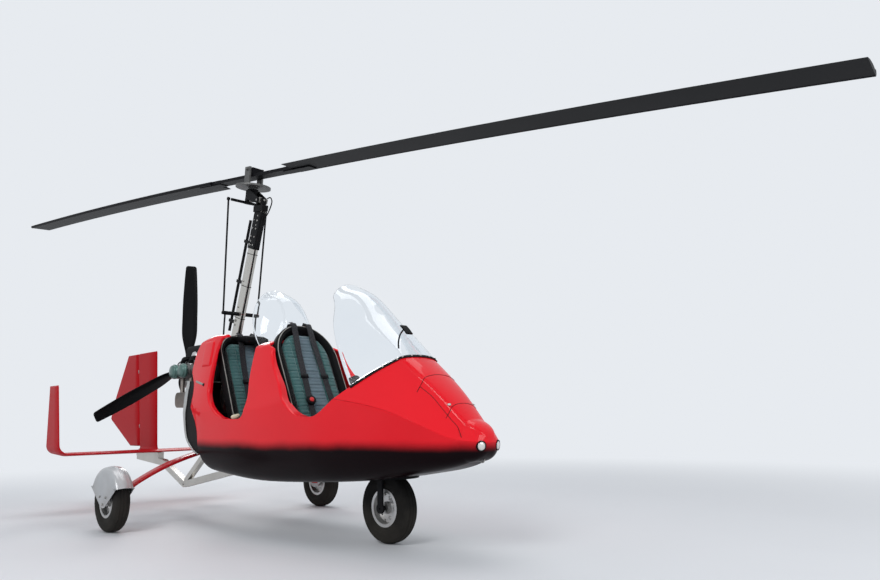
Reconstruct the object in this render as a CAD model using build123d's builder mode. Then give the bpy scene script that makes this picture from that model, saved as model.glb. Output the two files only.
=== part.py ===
from build123d import *
from collections import namedtuple
from math import cos, radians, sin, sqrt, tan
import os

# Open two-seat gyrocopter with a pusher propeller, standing on its three wheels.
# Millimetres. +X points to the nose, +Y to the left side, +Z up.
# The origin is on the ground, straight below the middle of the rotor.

os.makedirs("parts", exist_ok=True)

# Driving sizes of the rotor
rotor_radius = 4200.0
blade_chord = 200.0
blade_droop = 76.0
rotor_tilt = 6.2
rotor_azimuth = 4.28
hub_height = 2615.0
bar_half_length = 520.0
bar_width = 90.0
teeter_rise = 50.0

# Driving sizes of the undercarriage
tyre_radius = 205.0
tyre_width = 100.0
rim_radius = 110.0
rim_width = 84.0
main_axle_x = -281.0
main_track_half = 870.0
nose_axle_x = 1557.0
axle_radius = 12.5
running_gap = 0.05

# Driving sizes of the hull
wall = 14.0
sill_height = 740.0
screen_wall = 4.0
soft_gap = 0.3
panel_gap = 0.8

# Driving sizes of the propeller and engine
prop_radius = 865.0
prop_x = -980.0
prop_height = 1202.0
prop_shaft_radius = 22.0
engine_height = 1125.0
engine_rear_x = -880.0
engine_front_x = -400.0

# Places worked out from the driving sizes
tilt = radians(rotor_tilt)
azimuth = radians(rotor_azimuth)
hub_x = blade_droop * sin(tilt)
hub = Vector(hub_x, 0, hub_height)
shaft_axis = Vector(sin(tilt), 0, cos(tilt))
head_forward = Vector(cos(tilt), 0, -sin(tilt))
blade_axis = Vector(cos(azimuth) * cos(tilt), sin(azimuth), -cos(azimuth) * sin(tilt))
head_plane = Plane(origin=hub, x_dir=head_forward, z_dir=shaft_axis)
rotor_plane = Plane(origin=hub, x_dir=blade_axis, z_dir=shaft_axis)


def finish(builder, name):
    """Label a finished piece and write it under its own name."""
    builder.part.label = name
    export_step(builder.part, "parts/" + name + ".step")


def side_block(points, half_width):
    """A block across the middle plane whose side view, X along and Z up, has these corners."""
    with BuildPart() as block:
        with BuildSketch(Plane.XZ):
            with BuildLine():
                Polyline(*points, close=True)
            make_face()
        extrude(amount=half_width, both=True)
    return block.part


# Hull sections from tail to nose.
# floor: height and half width of the flat bottom. belt: where the bottom's arc meets the side.
# crease: where the upper side starts. crest: edge of the top, crown: top at the middle.
HullSection = namedtuple(
    "HullSection",
    "x floor_z floor_y belt_z belt_y crease_z crease_y crest_z crest_y crown_z",
)
hull_sections = [
    HullSection(-470, 432, 150, 620, 320, 800, 330, 1270, 250, 1330),
    HullSection(0, 365, 200, 600, 372, 800, 378, 1330, 290, 1385),
    HullSection(600, 330, 210, 590, 388, 800, 388, 1200, 300, 1275),
    HullSection(1250, 352, 200, 590, 380, 860, 372, 1290, 225, 1340),
    HullSection(1600, 374, 165, 590, 345, 820, 345, 1180, 180, 1235),
    HullSection(1860, 408, 125, 590, 302, 768, 312, 1015, 145, 1060),
    HullSection(2080, 442, 90, 575, 232, 683, 250, 845, 115, 880),
    HullSection(2250, 488, 50, 565, 132, 606, 145, 680, 85, 712),
    HullSection(2352, 560, 12, 575, 32, 590, 36, 602, 22, 610),
]
corner_out = 0.74
corner_up = 0.30


def hull_outline(row, inset):
    """One hull section as a face across the hull, drawn in by inset all round."""
    floor = (max(row.floor_y - inset, 4), row.floor_z + inset)
    belt = (max(row.belt_y - inset, 8), row.belt_z)
    corner = (
        floor[0] + corner_out * (belt[0] - floor[0]),
        floor[1] + corner_up * (belt[1] - floor[1]),
    )
    crease = (max(row.crease_y - inset, 8), row.crease_z)
    crest = (max(row.crest_y - inset, 4), row.crest_z - 0.7 * inset)
    with BuildSketch(Plane.YZ.offset(row.x)) as outline:
        with BuildLine():
            Line((-floor[0], floor[1]), floor)
            ThreePointArc(floor, corner, belt)
            Line(belt, crease)
            Line(crease, crest)
            ThreePointArc(crest, (0, row.crown_z - inset), (-crest[0], crest[1]))
            Line((-crest[0], crest[1]), (-crease[0], crease[1]))
            Line((-crease[0], crease[1]), (-belt[0], belt[1]))
            ThreePointArc((-belt[0], belt[1]), (-corner[0], corner[1]), (-floor[0], floor[1]))
        make_face()
    return outline.sketch


with BuildPart() as hull_skin:
    loft([hull_outline(row, 0) for row in hull_sections])

with BuildPart() as hull_room:
    loft([hull_outline(row, wall) for row in hull_sections[:-1]])

# The front edge of the cockpit opening is a plane that rises towards the screen.
opening_front_x = 1325.0
opening_slope = 33.6
opening_top_x = 1835.0
opening_top_z = sill_height + (opening_top_x - opening_front_x) * tan(radians(opening_slope))
far_front = 2600.0
far_rear = -700.0
far_up = 1700.0
half_span = 600.0

# The joint between the lower hull and the hood follows the crease from the cockpit to the nose.
crease_line = [(1490, 850), (1860, 768), (2080, 683), (2250, 606), (far_front, 520)]

# The lower hull's rear edge in the side view, and all that lies behind it
behind_tub = [
    (far_rear, 0), (far_rear, sill_height + 20), (-130, sill_height + 20), (-130, sill_height),
    (-92, 648), (-84, 502), (-80, 440), (-60, 300), (-60, 0),
]

above_tub = side_block(
    [(far_rear, sill_height), (opening_front_x, sill_height)]
    + crease_line
    + [(far_front, far_up), (far_rear, far_up)],
    half_span,
)

# Well for the steered nose wheel, a cup that opens downwards, with the steering tube's bore
well_radius = 172.0
well_top = 452.0
steer_radius = 20.0
steer_top = 600.0
boss_radius = 38.0

# Slot in the lower hull for the bow of the main undercarriage
bow_thickness = 26.0
bow_depth = 110.0
bow_slot_gap = 0.3

# The bow, one arch across the aircraft: half width and height of its centre line
bow_line = [(0, 545), (245, 500), (532, 406), (742, 296), (812, 205)]


def bow_block(extra):
    """The bow as one solid, made larger by extra on all its faces."""
    upper = [(y, z + bow_thickness / 2 + extra) for y, z in bow_line]
    lower = [(y, z - bow_thickness / 2 - extra) for y, z in bow_line]
    mirrored_upper = [(-y, z) for y, z in upper[:0:-1]]
    mirrored_lower = [(-y, z) for y, z in lower[1:]]
    corners = mirrored_upper + upper + lower[::-1] + mirrored_lower
    with BuildPart() as block:
        with BuildSketch(Plane.YZ.offset(main_axle_x - bow_depth / 2 - extra)):
            with BuildLine():
                Polyline(*corners, close=True)
            make_face()
        extrude(amount=bow_depth + 2 * extra)
    return block.part


with BuildPart() as gear_bow:
    add(bow_block(0))
    for side in (-1, 1):
        with BuildSketch(Plane.XZ.offset(-side * (main_track_half - rim_width / 2 - 6))):
            with Locations((main_axle_x, tyre_radius)):
                Circle(34)
        extrude(amount=side * 22)
finish(gear_bow, "gear_bow")

lamp_y = 65.0
lamp_z = 573.0
lamp_radius = 23.0
lamp_back_x = 2205.0
with BuildPart() as nose_lamps:
    for side in (-1, 1):
        with BuildSketch(Plane.YZ.offset(lamp_back_x)):
            with Locations((side * lamp_y, lamp_z)):
                Circle(lamp_radius)
        extrude(amount=120)
    add(hull_skin.part, mode=Mode.INTERSECT)
finish(nose_lamps, "nose_lamps")

with BuildPart() as well_cup:
    with BuildSketch(Plane.XY.offset(well_top + wall)):
        with Locations((nose_axle_x, 0)):
            Circle(well_radius + wall)
    extrude(amount=-well_top)
    add(hull_skin.part, mode=Mode.INTERSECT)

with BuildPart() as hull_tub:
    add(hull_skin.part)
    add(hull_room.part, mode=Mode.SUBTRACT)
    add(above_tub, mode=Mode.SUBTRACT)
    add(well_cup.part)
    with BuildSketch(Plane.XY.offset(steer_top)):
        with Locations((nose_axle_x, 0)):
            Circle(boss_radius)
    extrude(amount=-(steer_top - well_top))
    with BuildSketch(Plane.XY.offset(well_top)):
        with Locations((nose_axle_x, 0)):
            Circle(well_radius)
    extrude(amount=-well_top, mode=Mode.SUBTRACT)
    with BuildSketch(Plane.XY.offset(steer_top)):
        with Locations((nose_axle_x, 0)):
            Circle(steer_radius + running_gap)
    extrude(amount=-steer_top, mode=Mode.SUBTRACT)
    add(side_block(behind_tub, half_span), mode=Mode.SUBTRACT)
    add(nose_lamps.part, mode=Mode.SUBTRACT)
finish(hull_tub, "hull_tub")

below_hood = side_block(
    [(far_rear, 0), (far_rear, crease_line[0][1] + panel_gap)]
    + [(x, z + panel_gap) for x, z in crease_line]
    + [(far_front, 0)],
    half_span,
)
above_opening = side_block(
    [
        (far_rear, sill_height),
        (opening_front_x, sill_height),
        (opening_top_x + 300, opening_top_z + 300 * tan(radians(opening_slope))),
        (far_front, far_up),
        (far_rear, far_up),
    ],
    half_span,
)

# Hatch on the spine of the hood, set in its own opening
hatch_rear_x = 1960.0
hatch_front_x = 2150.0
hatch_half_width = 75.0

with BuildPart() as hood_skin:
    add(hull_skin.part)
    add(hull_room.part, mode=Mode.SUBTRACT)
    add(below_hood, mode=Mode.SUBTRACT)
    add(above_opening, mode=Mode.SUBTRACT)
    add(nose_lamps.part, mode=Mode.SUBTRACT)


def hatch_block(extra):
    """An upright block as large as the hood's hatch, larger by extra on its four sides."""
    with BuildPart() as block:
        with BuildSketch(Plane.XY.offset(700)):
            with Locations(((hatch_rear_x + hatch_front_x) / 2, 0)):
                RectangleRounded(
                    hatch_front_x - hatch_rear_x + 2 * extra, 2 * (hatch_half_width + extra), 18
                )
        extrude(amount=400)
    return block.part


with BuildPart() as nose_hood:
    add(hood_skin.part)
    add(hatch_block(panel_gap), mode=Mode.SUBTRACT)
finish(nose_hood, "nose_hood")

with BuildPart() as hood_hatch:
    add(hood_skin.part)
    add(hatch_block(0), mode=Mode.INTERSECT)
finish(hood_hatch, "hood_hatch")

# Side views of the two raised fairings above the sill
divider_side = [
    (545, sill_height), (590, 880), (562, 1090), (566, 1178), (566, 1300), (622, 1300),
    (640, 1215), (745, 1203), (776, 1107), (899, 958), (1048, 797), (1168, sill_height),
]
cowl_side = [
    (-130, sill_height), (-175, 793), (-223, 842), (-220, 923), (-240, 1007), (-280, 1045),
    (-335, 1078), (-310, 1235), (-235, 1316), (-200, 1345), (110, 1356),
    (40, 1230), (18, 1103), (10, 938), (120, 810), (257, sill_height),
]
fairing_wall = 30.0

with BuildPart() as fairing_room:
    loft([hull_outline(row, fairing_wall) for row in hull_sections[:-1]])

# Wheels: a profile turned about the axle, then moved to its axle's middle
def wheel_tyre(middle):
    """One tyre round the Y axis, with its middle at the given point."""
    half = tyre_width / 2
    seat = rim_width / 2
    with BuildPart() as tyre:
        with BuildSketch(Plane.XZ):
            with BuildLine():
                Line((rim_radius, -seat), (rim_radius, seat))
                ThreePointArc(
                    (rim_radius, seat), (rim_radius + 50, half), (tyre_radius - 14, seat - 4)
                )
                ThreePointArc(
                    (tyre_radius - 14, seat - 4), (tyre_radius, 0), (tyre_radius - 14, 4 - seat)
                )
                ThreePointArc(
                    (tyre_radius - 14, 4 - seat), (rim_radius + 50, -half), (rim_radius, -seat)
                )
            make_face()
        revolve(axis=Axis.Z)
    return tyre.part.rotate(Axis.X, 90).moved(Location(middle))


def wheel_rim(middle, hub_half):
    """One rim with its hub round the Y axis, bored for the axle."""
    seat = rim_width / 2
    bore = axle_radius + running_gap
    with BuildPart() as rim:
        with BuildSketch(Plane.XZ):
            with BuildLine():
                Polyline(
                    (bore, -hub_half), (32, -hub_half), (36, -12), (84, -10), (92, -seat),
                    (rim_radius, -seat), (rim_radius, seat), (92, seat), (84, 10), (36, 12),
                    (32, hub_half), (bore, hub_half), close=True,
                )
            make_face()
        revolve(axis=Axis.Z)
        with PolarLocations(60, 5):
            Cylinder(11, 60, mode=Mode.SUBTRACT)
    return rim.part.rotate(Axis.X, 90).moved(Location(middle))


main_hub_half = 34.0
nose_hub_half = 40.0
nose_middle = (nose_axle_x, 0, tyre_radius)
for side, place in ((1, "left"), (-1, "right")):
    middle = (main_axle_x, side * main_track_half, tyre_radius)
    with BuildPart() as tyre:
        add(wheel_tyre(middle))
    finish(tyre, "tyre_" + place)
    with BuildPart() as rim:
        add(wheel_rim(middle, main_hub_half))
    finish(rim, "wheel_rim_" + place)

    # Stub axle from the bow's end through the hub to a nut outside
    with BuildPart() as axle:
        with BuildSketch(Plane.XZ.offset(-side * (main_track_half - rim_width / 2 - 6))):
            with Locations((main_axle_x, tyre_radius)):
                Circle(axle_radius)
        extrude(amount=-side * (rim_width / 2 + 6 + main_hub_half + 12))
        with BuildSketch(Plane.XZ.offset(-side * (main_track_half + main_hub_half + 0.5))):
            with Locations((main_axle_x, tyre_radius)):
                Circle(20)
        extrude(amount=-side * 12)
    finish(axle, "stub_axle_" + place)

with BuildPart() as nose_tyre:
    add(wheel_tyre(nose_middle))
finish(nose_tyre, "nose_tyre")
with BuildPart() as nose_rim:
    add(wheel_rim(nose_middle, nose_hub_half))
finish(nose_rim, "nose_rim")

# Nose fork: crown above the tyre, two legs, the axle and the steering tube
fork_leg_y = 68.0
fork_leg_thickness = 12.0
fork_leg_depth = 42.0
fork_crown_z = 424.0
tow_bore_radius = 6.0
with BuildPart() as nose_fork:
    for side in (-1, 1):
        with Locations((nose_axle_x, side * fork_leg_y, (fork_crown_z + tyre_radius) / 2)):
            Box(fork_leg_depth, fork_leg_thickness, fork_crown_z - tyre_radius + 30)
        with BuildSketch(Plane.XZ.offset(-side * (fork_leg_y - fork_leg_thickness / 2))):
            with Locations((nose_axle_x, tyre_radius)):
                Circle(30)
        extrude(amount=-side * fork_leg_thickness)
    with Locations((nose_axle_x, 0, fork_crown_z)):
        Box(fork_leg_depth, 2 * fork_leg_y + fork_leg_thickness, 16)
    with BuildSketch(Plane.XY.offset(fork_crown_z)):
        with Locations((nose_axle_x, 0)):
            Circle(steer_radius)
    extrude(amount=steer_top - fork_crown_z + 40)
    with BuildSketch(Plane.XZ.offset(-fork_leg_y)):
        with Locations((nose_axle_x, tyre_radius)):
            Circle(axle_radius)
    extrude(amount=2 * fork_leg_y)
    with BuildSketch(Plane.XZ.offset(-fork_leg_y - fork_leg_thickness)):
        with Locations((nose_axle_x, tyre_radius)):
            Circle(tow_bore_radius)
    extrude(amount=2 * (fork_leg_y + fork_leg_thickness), mode=Mode.SUBTRACT)
finish(nose_fork, "nose_fork")

# Frame below and behind the hull: a keel tube of three runs and one brace, in the side view
keel_points = [(-40, 378), (-963, 216), (-1366, 381), (-1880, 424)]
# Block that clamps the landing gear's bow to the keel, and what is cut away above the bow
bow_clamp = [(-325, 330), (-325, 560), (-237, 560), (-237, 345)]
above_clamp = [(-400, 550), (-400, 690), (-180, 690), (-180, 550)]
brace_points = [(-950, 240), (-545, 540)]
keel_half = 25.0
tie_down_radius = 7.0
tail_height = 480.0
tail_half_thickness = 15.0


def run_block(start, end, half_depth, half_width):
    """A straight bar between two points of the side view."""
    along = Vector(end[0] - start[0], 0, end[1] - start[1])
    plane = Plane(origin=(start[0], 0, start[1]), x_dir=(0, 1, 0), z_dir=along)
    with BuildPart() as bar:
        with BuildSketch(plane):
            Rectangle(2 * half_width, 2 * half_depth)
        extrude(amount=along.length)
    return bar.part


with BuildPart() as keel_frame:
    for start, end in zip(keel_points, keel_points[1:]):
        add(run_block(start, end, keel_half, keel_half))
    for x, z in keel_points[1:-1]:
        with BuildSketch(Plane.XZ.offset(-keel_half)):
            with Locations((x, z)):
                Circle(keel_half)
        extrude(amount=2 * keel_half)
    add(run_block(*brace_points, keel_half - 4, keel_half - 4))
    add(side_block(bow_clamp, keel_half))
    add(bow_block(0), mode=Mode.SUBTRACT)
    add(side_block(above_clamp, 2 * keel_half), mode=Mode.SUBTRACT)
    add(
        side_block(
            [(-1890, 430), (-1890, tail_height - tail_half_thickness),
             (-1440, tail_height - tail_half_thickness), (-1440, 392)],
            keel_half,
        )
    )
    with BuildSketch(Plane.XZ.offset(-keel_half)):
        with Locations(keel_points[1]):
            Circle(tie_down_radius)
    extrude(amount=2 * keel_half, mode=Mode.SUBTRACT)
    add(hull_skin.part, mode=Mode.SUBTRACT)
finish(keel_frame, "keel_frame")

# Mast, leaning forward from the keel tube to the rotor head
mast_lean = radians(19)
mast_top = Vector(118, 0, 2338)
mast_half_depth = 45.0
mast_half_width = 20.0
mast_reach = 2300.0
mast_axis = Vector(sin(mast_lean), 0, cos(mast_lean))
mast_foot = mast_top - mast_axis * mast_reach
control_bar_z = 1550.0
control_bar_radius = 15.0
control_bar_half = 140.0


def mast_point(z):
    """The middle of the mast at a height."""
    return mast_top - mast_axis * ((mast_top.Z - z) / mast_axis.Z)


keel_top = side_block(
    [(x, z + keel_half) for x, z in keel_points[:2]] + [(keel_points[1][0], -100), (keel_points[0][0], -100)], half_span
)
bar_middle = mast_point(control_bar_z)
with BuildPart() as control_bar:
    with BuildSketch(Plane.XZ.offset(-control_bar_half)):
        with Locations((bar_middle.X, bar_middle.Z)):
            Circle(control_bar_radius)
    extrude(amount=2 * control_bar_half)
finish(control_bar, "control_bar")

with BuildPart() as mast:
    add(run_block((mast_foot.X, mast_foot.Z), (mast_top.X, mast_top.Z), mast_half_depth, mast_half_width))
    add(keel_top, mode=Mode.SUBTRACT)
    add(keel_frame.part, mode=Mode.SUBTRACT)
    add(control_bar.part, mode=Mode.SUBTRACT)
finish(mast, "mast")

mast_gap = 6.0
with BuildPart() as rear_cowl:
    add(hull_skin.part)
    add(side_block(cowl_side, half_span), mode=Mode.INTERSECT)
    add(fairing_room.part, mode=Mode.SUBTRACT)
    add(
        run_block(
            (mast_foot.X, mast_foot.Z),
            (mast_top.X, mast_top.Z),
            mast_half_depth + mast_gap,
            mast_half_width + mast_gap,
        ),
        mode=Mode.SUBTRACT,
    )
finish(rear_cowl, "rear_cowl")

# Rear liner: a bulkhead with side walls, set inside the hull's skin behind the seats.
# Its rear face in the side view, from the floor up, and the edge that it shows to the side
liner_rear = [
    (-85, 490), (-185, 507), (-294, 578), (-348, 666), (-377, 801),
    (-402, 892), (-410, 968), (-396, 1028),
]
liner_front = [
    (-250, 1028), (-200, 1000), (-190, 923), (-190, 842),
    (-140, 793), (-95, 731), (-60, 648), (-60, 490),
]
liner_wall = 20.0
liner_inner = [(x + liner_wall, z + liner_wall * share) for (x, z), share in zip(
    liner_rear, (1, 1, 0.7, 0.3, 0, 0, 0, 1)
)]
with BuildPart() as liner_hollow:
    add(fairing_room.part)
    add(
        side_block(liner_inner + [(-100, 1200), (0, 1055), (0, 510)], half_span),
        mode=Mode.INTERSECT,
    )

with BuildPart() as rear_liner:
    add(hull_room.part)
    add(side_block(liner_rear + liner_front, half_span), mode=Mode.INTERSECT)
    add(liner_hollow.part, mode=Mode.SUBTRACT)
    add(rear_cowl.part, mode=Mode.SUBTRACT)
    add(bow_block(bow_slot_gap), mode=Mode.SUBTRACT)
    add(
        run_block(
            (mast_foot.X, mast_foot.Z),
            (mast_top.X, mast_top.Z),
            mast_half_depth + mast_gap,
            mast_half_width + mast_gap,
        ),
        mode=Mode.SUBTRACT,
    )
finish(rear_liner, "rear_liner")

# Engine: crankcase, four cylinders, their covers, gearbox, mount, intake and silencer
crank_half_width = 110.0
crank_half_height = 90.0
cylinder_radius = 52.0
cylinder_xs = (-560.0, -700.0)
cylinder_out = 245.0
cover_out = 285.0
gearbox_rear_x = -935.0
engine_length = engine_front_x - engine_rear_x
engine_middle_x = (engine_front_x + engine_rear_x) / 2

with BuildPart() as engine_block:
    with Locations((engine_middle_x, 0, engine_height)):
        Box(engine_length, 2 * crank_half_width, 2 * crank_half_height)
    fillet(engine_block.edges().filter_by(Axis.X), 30)
finish(engine_block, "engine_block")


def across_cylinders(radius, from_y, to_y):
    """Four round blocks along Y, two on each side of the engine."""
    with BuildPart() as blocks:
        for side in (-1, 1):
            with BuildSketch(Plane.XZ.offset(-side * from_y)):
                with Locations(*[(x, engine_height) for x in cylinder_xs]):
                    Circle(radius)
            extrude(amount=-side * (to_y - from_y))
    return blocks.part


with BuildPart() as engine_cylinders:
    add(across_cylinders(cylinder_radius, crank_half_width, cylinder_out))
finish(engine_cylinders, "engine_cylinders")
with BuildPart() as valve_covers:
    add(across_cylinders(cylinder_radius + 6, cylinder_out, cover_out))
finish(valve_covers, "valve_covers")

with BuildPart() as gearbox:
    with Locations(((gearbox_rear_x + engine_rear_x) / 2, 0, (engine_height + prop_height) / 2)):
        Box(engine_rear_x - gearbox_rear_x, 150, prop_height - engine_height + 150)
    fillet(gearbox.edges().filter_by(Axis.X), 50)
    with BuildSketch(Plane.YZ.offset(gearbox_rear_x)):
        with Locations((0, prop_height)):
            Circle(prop_shaft_radius + running_gap)
    extrude(amount=40, mode=Mode.SUBTRACT)
finish(gearbox, "gearbox")

mount_low = engine_height - 80
mount_high = engine_height + 80
mast_back = mast_half_depth / cos(mast_lean)
with BuildPart() as engine_mount:
    add(
        side_block(
            [
                (engine_front_x, mount_low),
                (engine_front_x, mount_high),
                (mast_point(mount_high).X - mast_back, mount_high),
                (mast_point(mount_low).X - mast_back, mount_low),
            ],
            60,
        )
    )
finish(engine_mount, "engine_mount")

with BuildPart() as intake_box:
    with Locations((-640, 0, engine_height + crank_half_height + 65)):
        Box(280, 240, 130)
    fillet(intake_box.edges().filter_by(Axis.X), 40)
finish(intake_box, "intake_box")

silencer_height = 900.0
silencer_half_height = 60.0
pipe_y = 185.0
silencer_wall = 4.0
with BuildPart() as exhaust:
    with Locations((engine_middle_x + 10, 0, silencer_height)):
        Box(230, 450, 2 * silencer_half_height)
    fillet(exhaust.edges().filter_by(Axis.Y), 45)
    offset(amount=-silencer_wall, mode=Mode.SUBTRACT)
    with BuildSketch(Plane.XY.offset(silencer_height + silencer_half_height - 20)):
        with Locations(*[(x, side * pipe_y) for x in cylinder_xs for side in (-1, 1)]):
            Circle(18)
    extrude(amount=engine_height - silencer_height - silencer_half_height + 20 - 30)
    add(engine_cylinders.part, mode=Mode.SUBTRACT)
finish(exhaust, "exhaust")

# Propeller: hub with its shaft, and three blades that start in the hub's rim
prop_hub_radius = 70.0
prop_hub_half = 26.0
with BuildPart() as prop_hub:
    with BuildSketch(Plane.YZ.offset(prop_x - prop_hub_half)):
        with Locations((0, prop_height)):
            Circle(prop_hub_radius)
    extrude(amount=2 * prop_hub_half)
    with BuildSketch(Plane.YZ.offset(prop_x)):
        with Locations((0, prop_height)):
            Circle(prop_shaft_radius)
    extrude(amount=gearbox_rear_x - prop_x + 38)
finish(prop_hub, "prop_hub")

# Blade sections from root to tip: distance from the axis, chord, thickness, pitch in degrees
PropSection = namedtuple("PropSection", "radius chord thickness pitch")
prop_sections = [
    PropSection(prop_hub_radius - 8, 46, 40, 45),
    PropSection(260, 122, 26, 38),
    PropSection(560, 120, 17, 24),
    PropSection(prop_radius, 88, 9, 17),
]


def lens_section(plane, chord, thickness, pitch):
    """A lens-shaped blade section of two arcs, turned by its pitch."""
    half = chord / 2
    with BuildSketch(plane) as lens:
        with BuildLine(Rotation(0, 0, pitch)):
            ThreePointArc((-half, 0), (0, thickness / 2), (half, 0))
            ThreePointArc((half, 0), (0, -thickness / 2), (-half, 0))
        make_face()
    return lens.sketch


with BuildPart() as prop_blades:
    for turn in (0, 120, 240):
        outward = Vector(0, sin(radians(turn)), cos(radians(turn)))
        sections = []
        for row in prop_sections:
            centre = Vector(prop_x, 0, prop_height) + outward * row.radius
            plane = Plane(origin=centre, x_dir=outward.cross(Vector(1, 0, 0)), z_dir=outward)
            sections.append(lens_section(plane, row.chord, row.thickness, row.pitch))
        loft(sections)
    add(prop_hub.part, mode=Mode.SUBTRACT)
finish(prop_blades, "prop_blades")

# Tail: tailplane with upright ends, fin, and rudder on a leaning hinge
tail_plan = [(-1360, 0), (-1400, 300), (-1500, 812), (-1830, 812), (-1935, 300), (-1950, 0)]
end_fin_side = [(-1520, 480), (-1605, 1045), (-1812, 1050), (-1830, 640), (-1760, 480)]
end_fin_y = 806.0
end_fin_thickness = 20.0
with BuildPart() as tailplane:
    with BuildSketch(Plane.XY.offset(tail_height - tail_half_thickness)):
        with BuildLine():
            Polyline(*tail_plan, *[(x, -y) for x, y in tail_plan[-2:0:-1]], close=True)
        make_face()
    extrude(amount=2 * tail_half_thickness)
    for side in (-1, 1):
        with BuildSketch(Plane.XZ.offset(-side * end_fin_y)):
            with BuildLine():
                Polyline(*end_fin_side, close=True)
            make_face()
        extrude(amount=-side * end_fin_thickness)
finish(tailplane, "tailplane")

hinge_foot = Vector(-1862, 0, 515)
hinge_head = Vector(-1966, 0, 1360)
hinge_axis = (hinge_head - hinge_foot).normalized()
hinge_gap = 15.0
hinge_pin = 5.0
lug_radius = 11.0
lug_height = 20.0
lug_clear = 1.0
fin_half_thickness = 20.0
fin_base = tail_height + tail_half_thickness
lug_feet = [hinge_foot + (hinge_head - hinge_foot) * share for share in (0.2, 0.8)]
with BuildPart() as fin:
    add(
        side_block(
            [
                (-1524, fin_base), (-1591, 1375),
                (hinge_head.X + hinge_gap, 1362), (hinge_foot.X + hinge_gap, fin_base),
            ],
            fin_half_thickness,
        )
    )
    for lug in lug_feet:
        lug_plane = Plane(origin=lug, x_dir=(0, 1, 0), z_dir=hinge_axis)
        with BuildSketch(lug_plane):
            Circle(lug_radius)
            with Locations((0, -hinge_gap)):
                Rectangle(2 * lug_radius, 2 * hinge_gap)
        extrude(amount=lug_height)
        with BuildSketch(lug_plane):
            Circle(hinge_pin + running_gap)
        extrude(amount=lug_height, mode=Mode.SUBTRACT)
finish(fin, "fin")

with BuildPart() as rudder:
    add(
        side_block(
            [
                (hinge_head.X - hinge_gap, 1362), (-2205, 1374), (-2473, 976), (-2574, 771),
                (-2085, 514), (hinge_foot.X - hinge_gap, 530),
            ],
            fin_half_thickness - 4,
        )
    )
    for lug in lug_feet:
        lug_plane = Plane(origin=lug, x_dir=(0, 1, 0), z_dir=hinge_axis)
        with BuildSketch(lug_plane.offset(-lug_height - lug_clear)):
            Circle(lug_radius)
            with Locations((0, hinge_gap)):
                Rectangle(2 * lug_radius, 2 * hinge_gap)
        extrude(amount=lug_height)
        with BuildSketch(lug_plane.offset(-lug_height)):
            Circle(hinge_pin)
        extrude(amount=2 * lug_height)
finish(rudder, "rudder")

# Two bucket seats: side view corners of the sitting surface, from the top of the back to the knees
# shoulder: radius of the back's upper corners in the front view
SeatPlace = namedtuple("SeatPlace", "name top hip knee shoulder")
seat_places = [
    SeatPlace("front", (634, 1378), (1062, 462), (1385, 520), 235),
    SeatPlace("rear", (-66, 1368), (300, 462), (665, 520), 150),
]
seat_half_width = 250.0
bolster_width = 42.0
shell_thickness = 16.0
cushion_thickness = 46.0
bolster_rise = 60.0
rail_half = 14.0


def seat_run(start, end, low, high, half_width):
    """A slab along one run of the sitting surface, from low to high above it."""
    along = Vector(end[0] - start[0], 0, end[1] - start[1])
    plane = Plane(origin=(start[0], 0, start[1]), x_dir=(0, 1, 0), z_dir=along)
    with BuildPart() as slab:
        with BuildSketch(plane):
            with Locations((0, (low + high) / 2)):
                Rectangle(2 * half_width, high - low)
        extrude(amount=along.length)
    return slab.part


def run_point(start, end, distance):
    """The point of a run that lies this far before its end."""
    run = Vector(end[0] - start[0], 0, end[1] - start[1])
    point = Vector(end[0], 0, end[1]) - run.normalized() * distance
    return (point.X, point.Z)


def hip_roll(seat, radius, half_width):
    """A round bar across the seat at the hip, which joins the back's and the base's slabs."""
    with BuildPart() as roll:
        with BuildSketch(Plane.XZ.offset(-half_width)):
            with Locations(seat.hip):
                Circle(radius)
        extrude(amount=2 * half_width)
    return roll.part


def back_outline(seat, inset):
    """A prism along X whose front view is the seat's outline with rounded shoulders."""
    half = seat_half_width - inset
    high = seat.top[1] - inset
    bend = seat.shoulder - inset
    with BuildPart() as prism:
        with BuildSketch(Plane.YZ.offset(far_rear)):
            with BuildLine():
                Polyline((-half, high - bend), (-half, 0), (half, 0), (half, high - bend))
                RadiusArc((half, high - bend), (half - bend, high), -bend)
                Line((half - bend, high), (bend - half, high))
                RadiusArc((bend - half, high), (-half, high - bend), -bend)
            make_face()
        extrude(amount=far_front - far_rear)
    return prism.part


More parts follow.
